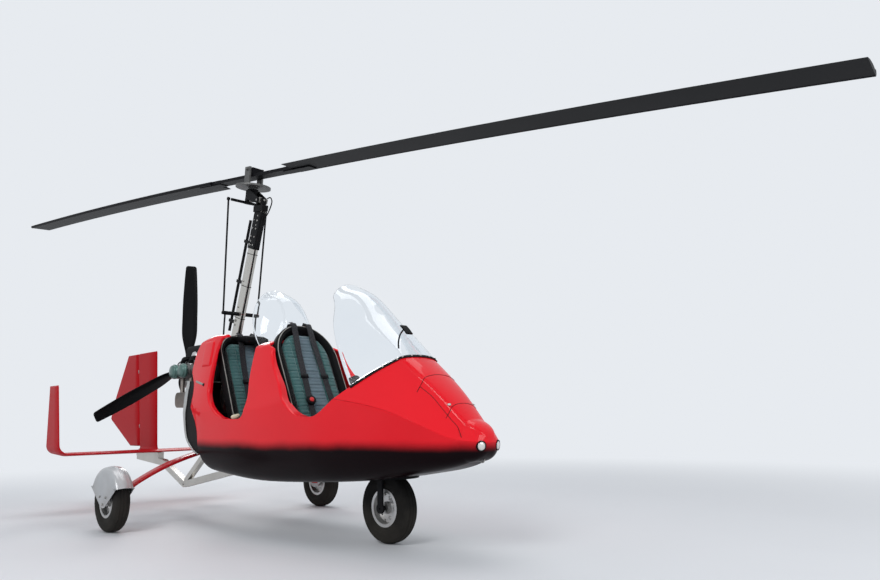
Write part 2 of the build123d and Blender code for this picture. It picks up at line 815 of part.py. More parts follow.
hull_inside = hull_room.part
back_side = -cushion_thickness - shell_thickness
front_side = bolster_rise - cushion_thickness
trough_half = seat_half_width - bolster_width
hip_space = 56.0
seat_shells = []
for seat in seat_places:
    runs = ((seat.top, seat.hip), (seat.hip, seat.knee))
    with BuildPart() as trough:
        for start, end in runs:
            add(seat_run(start, end, -cushion_thickness, 200, trough_half))
        add(hip_roll(seat, cushion_thickness, trough_half))
        add(back_outline(seat, bolster_width), mode=Mode.INTERSECT)
    with BuildPart() as shell:
        for start, end in runs:
            add(seat_run(start, end, back_side, front_side, seat_half_width))
        add(hip_roll(seat, -back_side, seat_half_width))
        add(trough.part, mode=Mode.SUBTRACT)
        add(back_outline(seat, 0), mode=Mode.INTERSECT)
        for side in (-1, 1):
            with Locations(((seat.hip[0] + seat.knee[0]) / 2, side * (trough_half + 20), 400)):
                Box(180, 2 * rail_half, 100)
        add(hull_inside, mode=Mode.INTERSECT)
        add(hull_tub.part, mode=Mode.SUBTRACT)
    seat_shells.append(shell.part)
    finish(shell, seat.name + "_seat_shell")
    cushion_low = soft_gap - cushion_thickness
    cushion_half = trough_half - soft_gap
    with BuildPart() as back_cushion:
        add(seat_run(seat.top, run_point(*runs[0], hip_space), cushion_low, 0, cushion_half))
        add(back_outline(seat, bolster_width + soft_gap), mode=Mode.INTERSECT)
    finish(back_cushion, seat.name + "_back_cushion")
    with BuildPart() as base_cushion:
        base_start = run_point(seat.knee, seat.hip, hip_space)
        add(seat_run(base_start, seat.knee, cushion_low, 0, cushion_half))
    finish(base_cushion, seat.name + "_base_cushion")

front_seat = seat_places[0]
front_seat_space = seat_run(front_seat.top, front_seat.hip, back_side, 400, seat_half_width + 1)
with BuildPart() as cockpit_divider:
    add(hull_skin.part)
    add(side_block(divider_side, half_span), mode=Mode.INTERSECT)
    add(fairing_room.part, mode=Mode.SUBTRACT)
    add(front_seat_space, mode=Mode.SUBTRACT)
finish(cockpit_divider, "cockpit_divider")

# Curved screens as a row of thin arches.
# base point in the side view, direction towards the arch's feet, half width and drop of the feet
ScreenArch = namedtuple("ScreenArch", "x z toward_x toward_z half_width drop")


def screen_arches(arches):
    """The sections of a curved clear screen, each a thin arch in a plane of its own."""
    faces = []
    for arch in arches:
        length = sqrt(arch.toward_x ** 2 + arch.toward_z ** 2)
        down = Vector(arch.toward_x / length, 0, arch.toward_z / length)
        facing = Vector(0, 1, 0).cross(down * -1)
        plane = Plane(origin=(arch.x, 0, arch.z), x_dir=(0, 1, 0), z_dir=facing)
        feet_y = arch.half_width
        with BuildSketch(plane) as band:
            with BuildLine():
                ThreePointArc((-feet_y, -arch.drop), (0, 0), (feet_y, -arch.drop))
                Line((feet_y, -arch.drop), (feet_y - screen_wall, -arch.drop))
                ThreePointArc(
                    (feet_y - screen_wall, -arch.drop),
                    (0, -screen_wall),
                    (screen_wall - feet_y, -arch.drop),
                )
                Line((screen_wall - feet_y, -arch.drop), (-feet_y, -arch.drop))
            make_face()
        faces.append(band.sketch)
    return faces


with BuildPart() as front_screen:
    loft(screen_arches([
        ScreenArch(1826, 1066, -0.833, -0.553, 312, 262),
        ScreenArch(1575, 1315, -0.94, -0.34, 285, 240),
        ScreenArch(1390, 1498, -0.80, -0.60, 214, 158),
        ScreenArch(1225, 1585, -0.55, -0.83, 148, 62),
    ]))
    add(nose_hood.part, mode=Mode.SUBTRACT)
    add(hull_tub.part, mode=Mode.SUBTRACT)
finish(front_screen, "front_screen")

with BuildPart() as rear_screen:
    loft(screen_arches([
        ScreenArch(590, 1262, -0.20, -0.98, 262, 78),
        ScreenArch(568, 1440, -0.90, -0.43, 245, 150),
        ScreenArch(490, 1590, -0.80, -0.60, 205, 140),
        ScreenArch(350, 1665, -0.50, -0.87, 140, 60),
    ]))
    add(hull_skin.part, mode=Mode.SUBTRACT)
finish(rear_screen, "rear_screen")

# Instrument binnacle under the front screen, inside the hood
with BuildPart() as instrument_panel:
    add(side_block([(1500, 820), (1500, 1010), (1560, 1040), (1700, 985), (1700, 820)], 320))
    add(above_opening, mode=Mode.SUBTRACT)
    add(hull_inside, mode=Mode.INTERSECT)
finish(instrument_panel, "instrument_panel")

# Rotor head, from the mast's fork up to the blades, in the head's own plane.
# Local X is forward, local Z runs up the rotor shaft, and heights are below the blades.
disc_radius = 134.0
disc_thickness = 14.0
disc_low = -86.0
shaft_radius = 15.0
housing_radius = 42.0
housing_high = -98.0
housing_low = -172.0
pivot_forward = 132.0
pivot_low = -200.0
pivot_pin = 8.0
cheek_inner = 34.0
cheek_thickness = 10.0
arm_half = 145.0
arm_radius = 11.0
arm_back = -62.0
arm_low = -195.0
gimbal_half_x = 24.0
gimbal_half_z = 20.0
fork_gap = 1.0
pivot = head_plane.from_local_coords((pivot_forward, 0, pivot_low))


def head_disc(radius, low, high):
    """A round block about the rotor shaft."""
    with BuildPart() as block:
        with BuildSketch(head_plane.offset(low)):
            Circle(radius)
        extrude(amount=high - low)
    return block.part


def head_side(points, half_width, middle_y=0):
    """A plate seen from the side in the head's plane, given by its corners."""
    side_plane = Plane(
        origin=head_plane.from_local_coords((0, middle_y - half_width, 0)),
        x_dir=head_forward,
        z_dir=(0, 1, 0),
    )
    with BuildPart() as plate:
        with BuildSketch(side_plane):
            with BuildLine():
                Polyline(*[(x, -z) for x, z in points], close=True)
            make_face()
        extrude(amount=2 * half_width)
    return plate.part


with BuildPart() as head_gimbal:
    add(
        head_side(
            [
                (pivot_forward - gimbal_half_x, pivot_low - gimbal_half_z),
                (pivot_forward + gimbal_half_x, pivot_low - gimbal_half_z),
                (pivot_forward + gimbal_half_x, pivot_low + gimbal_half_z),
                (pivot_forward - gimbal_half_x, pivot_low + gimbal_half_z),
            ],
            cheek_inner - fork_gap,
        )
    )
    with BuildSketch(Plane.XZ.offset(-cheek_inner - cheek_thickness)):
        with Locations((pivot.X, pivot.Z)):
            Circle(pivot_pin)
    extrude(amount=2 * (cheek_inner + cheek_thickness))
    with BuildSketch(Plane(origin=pivot - head_forward * 46, z_dir=head_forward)):
        Circle(pivot_pin)
    extrude(amount=92)
finish(head_gimbal, "head_gimbal")

with BuildPart() as head_bridge:
    add(head_disc(housing_radius, housing_low, housing_high))
    for side in (-1, 1):
        add(
            head_side(
                [
                    (-30, housing_low), (pivot_forward - 16, pivot_low - 20),
                    (pivot_forward + 16, pivot_low - 20), (pivot_forward + 20, pivot_low + 14),
                    (20, housing_high - 8), (-30, housing_high - 8),
                ],
                cheek_thickness / 2,
                side * (cheek_inner + cheek_thickness / 2),
            )
        )
    add(head_side([(-72, -206), (-52, -206), (-34, -165), (-34, -135), (-60, -135)], 26))
    arm_middle = head_plane.from_local_coords((arm_back, 0, arm_low))
    with BuildSketch(Plane.XZ.offset(-arm_half)):
        with Locations((arm_middle.X, arm_middle.Z)):
            Circle(arm_radius)
    extrude(amount=2 * arm_half)
    add(head_disc(shaft_radius + running_gap, housing_low - 40, housing_high + 40), mode=Mode.SUBTRACT)
    with BuildSketch(Plane.XZ.offset(-100)):
        with Locations((pivot.X, pivot.Z)):
            Circle(pivot_pin + running_gap)
    extrude(amount=200, mode=Mode.SUBTRACT)
finish(head_bridge, "head_bridge")

cheek_y = 58.0
tower_thickness = 14.0
tower_half_x = 32.0
cheek_gap = 3.0
with BuildPart() as rotor_tower:
    add(head_disc(disc_radius, disc_low, disc_low + disc_thickness))
    add(head_disc(shaft_radius, housing_low - 22, disc_low))
    add(head_disc(24, housing_low - 18, housing_low - fork_gap))
    add(head_disc(30, housing_high + fork_gap, disc_low))
    for side in (-1, 1):
        with BuildSketch(rotor_plane.offset(disc_low + disc_thickness)):
            with Locations((0, side * cheek_y)):
                Rectangle(2 * tower_half_x, tower_thickness)
        extrude(amount=teeter_rise + 22 - disc_low - disc_thickness)
    bolt_plane = Plane(
        origin=rotor_plane.from_local_coords((0, cheek_y + 20, teeter_rise)),
        x_dir=blade_axis,
        z_dir=rotor_plane.y_dir * -1,
    )
    with BuildSketch(bolt_plane):
        Circle(9)
    extrude(amount=2 * cheek_y + 40)
finish(rotor_tower, "rotor_tower")

blade_top = 15.0
blade_bottom = -9.0
# Blade sections from root to tip as shares of the blade's length
blade_stations = (0.0, 0.35, 0.7, 1.0)
nose_share = 0.30


def blade_outline(plane):
    """A blade section: round nose towards the plane's X, flat bottom, sharp tail."""
    nose = blade_chord * nose_share
    tail = nose - blade_chord
    with BuildSketch(plane) as outline:
        with BuildLine():
            Line((tail, -1), (nose - 22, blade_bottom))
            ThreePointArc((nose - 22, blade_bottom), (nose, 0), (nose - 26, 11.5))
            ThreePointArc((nose - 26, 11.5), (nose - 70, blade_top), (tail, 1))
            Line((tail, 1), (tail, -1))
        make_face()
    return outline.sketch


with BuildPart() as rotor_blades:
    for turn in (1, -1):
        sections = []
        for share in blade_stations:
            reach = bar_half_length + share * (rotor_radius - bar_half_length)
            centre = rotor_plane.from_local_coords((turn * reach, 0, -blade_droop * share ** 2))
            sections.append(
                blade_outline(
                    Plane(origin=centre, x_dir=rotor_plane.y_dir * turn, z_dir=blade_axis * turn)
                )
            )
        loft(sections)
finish(rotor_blades, "rotor_blades")

with BuildPart() as hub_bar:
    with BuildSketch(rotor_plane.offset(blade_bottom)):
        Rectangle(2 * bar_half_length, bar_width)
    extrude(amount=blade_top - blade_bottom)
    with BuildSketch(rotor_plane.offset(blade_top)):
        Rectangle(90, 2 * (cheek_y - tower_thickness / 2 - cheek_gap))
    extrude(amount=teeter_rise + 16 - blade_top)
    with BuildSketch(bolt_plane):
        Circle(9 + running_gap)
    extrude(amount=2 * cheek_y + 40, mode=Mode.SUBTRACT)
    for side in (-1, 1):
        for low in (blade_top, blade_bottom - 6):
            with BuildSketch(rotor_plane.offset(low)):
                with Locations((side * 560, 0)):
                    Rectangle(300, 70)
            extrude(amount=6)
    add(rotor_blades.part, mode=Mode.SUBTRACT)
finish(hub_bar, "hub_bar")

# Fork on the mast's top that carries the gimbal's long pin
with BuildPart() as mast_fork:
    for side in (-1, 1):
        add(
            head_side(
                [
                    (pivot_forward + side * 26, pivot_low + 16),
                    (pivot_forward + side * 44, pivot_low + 16),
                    (pivot_forward + side * 44, pivot_low - 60),
                    (pivot_forward + side * 26, pivot_low - 60),
                ][::side],
                18,
            )
        )
    add(
        head_side(
            [
                (pivot_forward - 62, pivot_low - 85), (pivot_forward + 62, pivot_low - 85),
                (pivot_forward + 62, pivot_low - 40), (pivot_forward - 62, pivot_low - 40),
            ],
            26,
        )
    )
    with BuildSketch(Plane(origin=pivot - head_forward * 60, z_dir=head_forward)):
        Circle(pivot_pin + running_gap)
    extrude(amount=120, mode=Mode.SUBTRACT)
    add(mast.part, mode=Mode.SUBTRACT)
finish(mast_fork, "mast_fork")

# Push rods from the control bar up to the arms of the rotor head
rod_eye = 13.0
rod_radius = 7.0
rod_eye_half = 8.0
rod_low_y = control_bar_half + 8.0
rod_gap = 16.0
rod_high_y = arm_half + rod_gap + rod_eye_half
with BuildPart() as push_rods:
    for side in (-1, 1):
        low = Vector(bar_middle.X, side * rod_low_y, bar_middle.Z)
        high = Vector(arm_middle.X, side * rod_high_y, arm_middle.Z)
        for end in (low, high):
            with BuildSketch(Plane.XZ.offset(-end.Y - rod_eye_half)):
                with Locations((end.X, end.Z)):
                    Circle(rod_eye)
            extrude(amount=2 * rod_eye_half)
        with BuildSketch(Plane(origin=low, z_dir=high - low)):
            Circle(rod_radius)
        extrude(amount=(high - low).length)
finish(push_rods, "push_rods")

# Spin-up drive: a shaft behind the mast with clamps on the mast's back
drive_behind = 118.0
drive_radius = 11.0
with BuildPart() as spin_up_drive:
    low = mast_point(1400) - Vector(cos(mast_lean), 0, -sin(mast_lean)) * drive_behind
    high = mast_point(2240) - Vector(cos(mast_lean), 0, -sin(mast_lean)) * drive_behind
    with BuildSketch(Plane(origin=low, z_dir=mast_axis)):
        Circle(drive_radius)
    extrude(amount=(high - low).length)
    for height in (1480, 1780, 2080):
        clamp_middle = mast_point(height)
        clamp_back = (-cos(mast_lean), 0, sin(mast_lean))
        clamp_plane = Plane(origin=clamp_middle, x_dir=(0, 1, 0), z_dir=clamp_back)
        with BuildSketch(clamp_plane.offset(mast_half_depth)):
            Rectangle(30, 24)
        extrude(amount=drive_behind - mast_half_depth + 14)
finish(spin_up_drive, "spin_up_drive")

# Fenders over the main wheels, open below, each on its bow's end
fender_inner = 219.0
fender_outer = 233.0
fender_half = 70.0
fender_wall = 8.0
boss_hold = 34.0
# The lower edge is a V with its point at the axle, and what lies below it is cut away
fender_lower_edge = [
    (main_axle_x - 400, -50), (main_axle_x - 400, 350), (main_axle_x - 235, 330),
    (main_axle_x - 45, 160), (main_axle_x + 45, 160), (main_axle_x + 235, 330),
    (main_axle_x + 400, 350), (main_axle_x + 400, -50),
]
for side, place in ((1, "left"), (-1, "right")):
    with BuildPart() as fender:
        with BuildSketch(Plane.XZ.offset(-side * (main_track_half - fender_half))):
            with Locations((main_axle_x, tyre_radius)):
                Circle(fender_outer)
        extrude(amount=-side * 2 * fender_half)
        with BuildSketch(Plane.XZ.offset(-side * (main_track_half - fender_half + fender_wall))):
            with Locations((main_axle_x, tyre_radius)):
                Circle(fender_inner)
        extrude(amount=-side * 2 * (fender_half - fender_wall), mode=Mode.SUBTRACT)
        with BuildSketch(Plane.XZ.offset(-side * (main_track_half - 2 * fender_half))):
            with BuildLine():
                Polyline(*fender_lower_edge, close=True)
            make_face()
        extrude(amount=-side * 4 * fender_half, mode=Mode.SUBTRACT)
        with BuildSketch(Plane.XZ.offset(-side * (main_track_half - fender_half - 10))):
            with Locations((main_axle_x, tyre_radius)):
                Circle(boss_hold)
        extrude(amount=-side * 30, mode=Mode.SUBTRACT)
        add(gear_bow.part, mode=Mode.SUBTRACT)
    finish(fender, "fender_" + place)
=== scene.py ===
# %% [markdown]
# # An open two-seat gyrocopter
# The machine has a red pod with two seats in line, a leaning mast with a drooping rotor,
# a pusher propeller and a low tail. Its solids are already packed as a fixed frame, in metres,
# with the nose towards +X, the left side towards +Y and the ground at Z = 0.
# This lesson dresses that frame: most pieces are surfaces worked out with numpy, and the
# plain solids that already have the right shape only get a finish.

import bmesh
import bpy
import numpy as np
from mathutils import Matrix, Vector


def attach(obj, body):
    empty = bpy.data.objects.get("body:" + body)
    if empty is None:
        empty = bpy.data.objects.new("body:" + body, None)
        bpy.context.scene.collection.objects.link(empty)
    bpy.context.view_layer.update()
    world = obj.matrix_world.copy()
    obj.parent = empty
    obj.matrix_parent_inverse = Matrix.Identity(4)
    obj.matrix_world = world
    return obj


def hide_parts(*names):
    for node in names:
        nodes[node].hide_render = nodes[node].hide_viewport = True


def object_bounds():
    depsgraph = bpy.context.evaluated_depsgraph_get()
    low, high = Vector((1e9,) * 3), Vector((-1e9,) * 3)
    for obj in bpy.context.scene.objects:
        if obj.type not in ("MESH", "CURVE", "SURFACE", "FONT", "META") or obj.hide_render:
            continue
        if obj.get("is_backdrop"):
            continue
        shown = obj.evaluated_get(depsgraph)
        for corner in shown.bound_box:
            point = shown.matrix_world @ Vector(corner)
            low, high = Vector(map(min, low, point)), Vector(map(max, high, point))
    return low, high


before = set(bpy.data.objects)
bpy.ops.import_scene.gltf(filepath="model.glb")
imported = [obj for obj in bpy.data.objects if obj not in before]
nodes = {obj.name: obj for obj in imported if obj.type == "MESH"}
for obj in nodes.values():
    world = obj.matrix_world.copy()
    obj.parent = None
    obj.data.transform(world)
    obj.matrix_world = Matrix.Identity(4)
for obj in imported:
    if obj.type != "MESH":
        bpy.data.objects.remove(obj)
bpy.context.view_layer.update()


def corners():
    """The lowest and highest corner of all that shows, as plain lists."""
    return [[float(value) for value in corner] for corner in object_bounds()]


# %% [markdown]
# ## Camera
# The camera stands low, ahead of the right side. Its three axes are written as unit vectors,
# which is plainer than three angles. The optical centre lies below the middle of the frame,
# so the camera has a small upward shift.

# %% Set the camera
IMAGE_WIDTH = 880
FOCAL_PIXELS = 712.2
SHIFT_PIXELS = 30
SENSOR = 36.0
CAMERA_PLACE = (4.769, -2.885, 0.722)
right_axis = (0.719634, 0.694108, -0.018500)
up_axis = (0.107665, -0.085224, 0.990528)
view_axis = (-0.685956, 0.714809, 0.136061)

camera_data = bpy.data.cameras.new("camera")
camera_data.sensor_width = SENSOR
camera_data.lens = FOCAL_PIXELS * SENSOR / IMAGE_WIDTH
camera_data.shift_y = SHIFT_PIXELS / IMAGE_WIDTH
camera = bpy.data.objects.new("camera", camera_data)
bpy.context.scene.collection.objects.link(camera)
placing = Matrix([right_axis, up_axis, [-value for value in view_axis]]).transposed().to_4x4()
placing.translation = CAMERA_PLACE
camera.matrix_world = placing
bpy.context.scene.camera = camera
print("lens", round(camera_data.lens, 2))

# %% [markdown]
# ## Studio
# A pale floor, a pale world and four soft lamps. The world lights the model with a dim grey,
# and shows itself near white only to the camera, in mirrors and through glass.

# %% Set the light
SKY_LIGHT, SKY_POWER = (0.78, 0.84, 0.92, 1), 0.45
SKY_TONE = (0.80, 0.83, 0.87, 1)

bpy.context.scene.view_settings.view_transform = "Standard"
world = bpy.data.worlds.new("studio")
bpy.context.scene.world = world
world.use_nodes = True
tree = world.node_tree
tree.nodes.clear()
rays = tree.nodes.new("ShaderNodeLightPath")
shown = rays.outputs["Is Camera Ray"]
for kind in ("Is Glossy Ray", "Is Transmission Ray"):
    larger = tree.nodes.new("ShaderNodeMath")
    larger.operation = "MAXIMUM"
    tree.links.new(shown, larger.inputs[0])
    tree.links.new(rays.outputs[kind], larger.inputs[1])
    shown = larger.outputs[0]
either = tree.nodes.new("ShaderNodeMixShader")
tree.links.new(shown, either.inputs[0])
for place, tone, power in ((1, SKY_LIGHT, SKY_POWER), (2, SKY_TONE, 1.0)):
    glow = tree.nodes.new("ShaderNodeBackground")
    glow.inputs["Color"].default_value = tone
    glow.inputs["Strength"].default_value = power
    tree.links.new(glow.outputs[0], either.inputs[place])
tree.links.new(either.outputs[0], tree.nodes.new("ShaderNodeOutputWorld").inputs["Surface"])

# name, place, what it points at, width, length, power
lamps = [
    ("key_lamp", (3.5, -7.0, 6.5), (0.6, 0.0, 0.8), 3.5, 3.5, 300),
    ("side_lamp", (8.0, 0.5, 4.0), (0.8, 0.0, 0.8), 2.5, 4.0, 150),
    ("sky_lamp", (-1.0, 1.5, 9.0), (0.0, 0.0, 0.5), 7.0, 5.0, 230),
    ("back_lamp", (-8.0, 4.0, 5.0), (0.0, 0.0, 1.0), 3.0, 3.0, 170),
]
for name, place, target, width, length, power in lamps:
    lamp = bpy.data.lights.new(name, "AREA")
    lamp.shape = "RECTANGLE"
    lamp.size, lamp.size_y, lamp.energy = width, length, power
    holder = bpy.data.objects.new(name, lamp)
    aim = Vector(target) - Vector(place)
    holder.matrix_world = Matrix.Translation(place) @ aim.to_track_quat("-Z", "Y").to_matrix().to_4x4()
    bpy.context.scene.collection.objects.link(holder)
print(len(lamps), "lamps")

# %% [markdown]
# ## Numpy helpers
# Every new piece is a grid of points, rows by columns. `surface` puts a quad between each four
# neighbours, welds what meets, and turns the faces outwards. A line through a few points is a
# smooth cubic curve, and a profile is carried along such a line with a ring for each step.

# %% Make a mesh from a grid
PI = np.pi
WELD = 1e-5


def surface(name, points, wrap_rows=False, wrap_columns=False, wall=0.0):
    """A mesh from a grid (rows, columns, 3): face = its four neighbouring points."""
    points = np.asarray(points, float)
    rows, columns = points.shape[:2]
    index = np.arange(rows * columns).reshape(rows, columns)
    if wrap_rows:
        index = np.vstack([index, index[:1]])
    if wrap_columns:
        index = np.hstack([index, index[:, :1]])
    quads = np.stack([index[:-1, :-1], index[1:, :-1], index[1:, 1:], index[:-1, 1:]], -1)
    mesh = bpy.data.meshes.new(name)
    mesh.from_pydata(points.reshape(-1, 3), [], quads.reshape(-1, 4))
    down, across = np.meshgrid(
        np.linspace(0, 1, index.shape[0]), np.linspace(0, 1, index.shape[1]), indexing="ij"
    )
    chart = np.stack([across, down], -1)
    chart = np.stack([chart[:-1, :-1], chart[1:, :-1], chart[1:, 1:], chart[:-1, 1:]], -2)
    mesh.uv_layers.new(name="grid").data.foreach_set("uv", chart.ravel())
    made = bpy.data.objects.new(name, mesh)
    bpy.context.scene.collection.objects.link(made)
    tidy(made)
    if wall:
        thicken(made, wall)
    return made


def tidy(made):
    """Merge points that meet, drop faces without area, turn faces outwards, shade smooth."""
    work = bmesh.new()
    work.from_mesh(made.data)
    bmesh.ops.remove_doubles(work, verts=work.verts, dist=WELD)
    bmesh.ops.dissolve_degenerate(work, edges=work.edges, dist=WELD / 2)
    bmesh.ops.recalc_face_normals(work, faces=work.faces)
    work.to_mesh(made.data)
    work.free()
    made.data.shade_smooth()


def thicken(made, wall):
    """Give a sheet an inner face, wall metres behind its outer one."""
    solid = made.modifiers.new("wall", "SOLIDIFY")
    solid.thickness = wall
    solid.offset = -1
    solid.use_even_offset = False


def round_edges(made, width, steps=2, angle=35):
    """Bevel the edges sharper than an angle, and keep the flats flat in the shading."""
    bevel = made.modifiers.new("bevel", "BEVEL")
    bevel.width, bevel.segments = width, steps
    bevel.limit_method, bevel.angle_limit = "ANGLE", np.radians(angle)
    bevel.harden_normals = True


def join(name, *parts):
    """One object from several, under one name."""
    bpy.ops.object.select_all(action="DESELECT")
    for part in parts:
        part.select_set(True)
    bpy.context.view_layer.objects.active = parts[0]
    bpy.ops.object.join()
    parts[0].name = parts[0].data.name = name
    return parts[0]


print("grid, wall, bevel and join are ready")

# %% [markdown]
# A hose, a bar and a strap are all a profile carried along a line, and a wheel or a bolt is a
# profile turned about an axis. Blender's own curves and the Screw modifier could do both. Worked
# out as arrays, the same few lines serve every such piece, and each face is where the formula says.

# %% Lines, rings and turned shapes
def line_through(points, count):
    """A smooth curve: each span is the cubic whose ends have the slope between their neighbours."""
    knots = np.asarray(points, float)
    knots = np.vstack([2 * knots[0] - knots[1], knots, 2 * knots[-1] - knots[-2]])
    place = np.linspace(0, len(knots) - 3, count)
    start = np.minimum(place.astype(int), len(knots) - 4)
    t = (place - start)[:, None]
    a, b, c, d = knots[start], knots[start + 1], knots[start + 2], knots[start + 3]
    return 0.5 * (2 * b + (c - a) * t + (2 * a - 5 * b + 4 * c - d) * t**2 + (3 * b - a - 3 * c + d) * t**3)


def unit(vectors):
    """Each vector divided by its length."""
    vectors = np.asarray(vectors, float)
    return vectors / np.maximum(np.linalg.norm(vectors, axis=-1, keepdims=True), 1e-12)


def with_ends(rings):
    """A point at the middle of the first and of the last ring closes both ends."""
    ends = [np.broadcast_to(rings[row].mean(0), rings[row].shape)[None] for row in (0, -1)]
    return np.concatenate([ends[0], rings, ends[1]])


def carried(path, profile, side=(0, 1, 0), scale=None):
    """Rings along a path: point = path + profile x times the side + profile y times the upright.
    The side is made square to the path, and the upright is square to both. A scale gives each
    ring its own width and height."""
    path = np.asarray(path, float)
    along = unit(np.gradient(path, axis=0))
    side = np.broadcast_to(np.asarray(side, float), path.shape)
    side = unit(side - (side * along).sum(-1, keepdims=True) * along)
    upright = np.cross(side, along)
    if scale is not None:
        profile = profile * scale[:, None]
    rings = path[:, None] + profile[..., :1] * side[:, None] + profile[..., 1:] * upright[:, None]
    return with_ends(rings)


def ring(radius, count):
    """The profile of a round bar: radius times (cos, sin)."""
    turn = np.linspace(0, 2 * PI, count, endpoint=False)
    return radius * np.stack([np.cos(turn), np.sin(turn)], -1)


def plate(width, height, corner, count):
    """The profile of a bar with soft corners: half the size times |cos|^corner and |sin|^corner,
    with their signs. A corner of 0 is sharp, and 1 is an ellipse."""
    turn = np.linspace(0, 2 * PI, count, endpoint=False)
    c, s = np.cos(turn), np.sin(turn)
    return np.stack(
        [width / 2 * np.sign(c) * np.abs(c) ** corner, height / 2 * np.sign(s) * np.abs(s) ** corner], -1
    )


def tube(name, points, radius, count=48, sides=16, straight=False):
    """A round bar or hose along a smooth line through the points."""
    path = points if straight else line_through(points, count)
    return surface(name, carried(path, ring(radius, sides)), wrap_columns=True)


def turned(name, profile, middle, axis, count=64, closed=False):
    """A lathe shape: profile rows are (radius, place along the axis), turned about the axis.
    Any direction that isn't the axis itself gives the first spoke."""
    profile = np.asarray(profile, float)
    axis = unit(axis)
    first = unit(np.cross(axis, (0.31, 0.17, 0.93)))
    second = np.cross(axis, first)
    turn = np.linspace(0, 2 * PI, count, endpoint=False)
    spokes = np.cos(turn)[:, None] * first + np.sin(turn)[:, None] * second
    points = (
        np.asarray(middle, float) + profile[:, None, :1] * spokes[None] + profile[:, None, 1:] * axis
    )
    return surface(name, points, wrap_rows=closed, wrap_columns=True)


def knob(radius, height, rim=0.3):
    """Lathe profile of a bolt head or cap: flat seat, straight side, soft rim, flat top."""
    soft = radius * rim
    return [
        (0, 0), (radius, 0), (radius, height - soft), (radius - 0.3 * soft, height - 0.3 * soft),
        (radius - soft, height), (0, height),
    ]


def bolt(at, axis, radius=0.0075, height=0.006, sides=6):
    """A hexagon head, or a round screw head when it has more sides."""
    return turned("bolt", knob(radius, height), at, axis, sides)


print("lines, tubes, lathe shapes and bolts are ready")

# %% [markdown]
# ## Shared effects
# Three effects come back in most finishes: slow changes of tone with fine flecks, a cloth weave,
# and dust that gathers low on the machine. Each is one node group, built once, that gives out
# colours, masks, values or normals. The shaders stay in the materials.

# %% Build the node groups
FLECK_DEPTH, THREAD_DEPTH = 0.0006, 0.0008


def new_group(name, inputs, outputs):
    """An empty shader group with named sockets: rows are (name, kind, value). It comes with what
    it is given, to link from, and what it puts out, to link to."""
    group = bpy.data.node_groups.new(name, "ShaderNodeTree")
    for label, kind, value in inputs:
        socket = group.interface.new_socket(name=label, in_out="INPUT", socket_type="NodeSocket" + kind)
        socket.default_value = value
    for label, kind in outputs:
        group.interface.new_socket(name=label, in_out="OUTPUT", socket_type="NodeSocket" + kind)
    given = group.nodes.new("NodeGroupInput")
    out = group.nodes.new("NodeGroupOutput")
    return group, given.outputs, out.inputs


def add_node(tree, kind, links=(), **values):
    """A node with its settings, and links given as (input, source socket)."""
    node = tree.nodes.new("ShaderNode" + kind)
    for key, value in values.items():
        setattr(node, key, value)
    for target, source in links:
        tree.links.new(source, node.inputs[target])
    return node


def set_inputs(node, **values):
    """Set unlinked inputs by name, with spaces for underscores."""
    for key, value in values.items():
        node.inputs[key.replace("_", " ")].default_value = value
    return node


def feed(tree, socket, source):
    """Link a socket to its source, or set it where the source is a plain number or colour."""
    if isinstance(source, (float, tuple)):
        socket.default_value = source
    else:
        tree.links.new(source, socket)


def mix_colours(tree, share, base, second):
    """Colour = base (1 - share) + second share."""
    node = add_node(tree, "Mix", [(0, share), (6, base)], data_type="RGBA")
    feed(tree, node.inputs[7], second)
    return node.outputs[2]


def calculate(tree, operation, *sources, clamp=False):
    """The result of a Math node."""
    node = add_node(tree, "Math", operation=operation, use_clamp=clamp)
    for place, source in enumerate(sources):
        feed(tree, node.inputs[place], source)
    return node.outputs[0]


def speckle(tree, place, scale, detail, roughness=0.5):
    """The value of a noise."""
    node = add_node(tree, "TexNoise", [("Vector", place)])
    set_inputs(node, Detail=detail, Roughness=roughness)
    feed(tree, node.inputs["Scale"], scale)
    return node.outputs["Fac"]


def build_surface_tone():
    """Tone = base mixed to a second colour by slow noise; fine noise moves roughness and bump."""
    group, given, out = new_group(
        "surface_tone",
        [
            ("Base", "Color", (1, 1, 1, 1)), ("Second", "Color", (0.5, 0.5, 0.5, 1)),
            ("Patch Scale", "Float", 4.0), ("Patch Amount", "Float", 0.3),
            ("Fleck Scale", "Float", 300.0), ("Fleck Amount", "Float", 0.2),
            ("Roughness", "Float", 0.4), ("Roughness Spread", "Float", 0.1),
            ("Relief", "Float", 0.1), ("Stretch", "Vector", (1, 1, 1)),
        ],
        [("Color", "Color"), ("Roughness", "Float"), ("Normal", "Vector")],
    )
    place = add_node(group, "TexCoord").outputs["Object"]
    drawn = add_node(group, "VectorMath", [(0, place), (1, given["Stretch"])], operation="MULTIPLY")
    patches = speckle(group, drawn.outputs[0], given["Patch Scale"], 5.0, 0.6)
    spread = add_node(group, "MapRange", [("Value", patches)])
    set_inputs(spread, From_Min=0.35, From_Max=0.7)
    flecks = speckle(group, drawn.outputs[0], given["Fleck Scale"], 3.0, 0.7)
    share = calculate(
        group, "MULTIPLY_ADD", spread.outputs[0], given["Patch Amount"],
        calculate(group, "MULTIPLY", flecks, given["Fleck Amount"]), clamp=True,
    )
    group.links.new(mix_colours(group, share, given["Base"], given["Second"]), out["Color"])
    rough = calculate(
        group, "MULTIPLY_ADD", flecks, given["Roughness Spread"], given["Roughness"], clamp=True
    )
    group.links.new(rough, out["Roughness"])
    relief = add_node(group, "Bump", [("Strength", given["Relief"]), ("Height", flecks)])
    set_inputs(relief, Distance=FLECK_DEPTH)
    group.links.new(relief.outputs[0], out["Normal"])
    return group


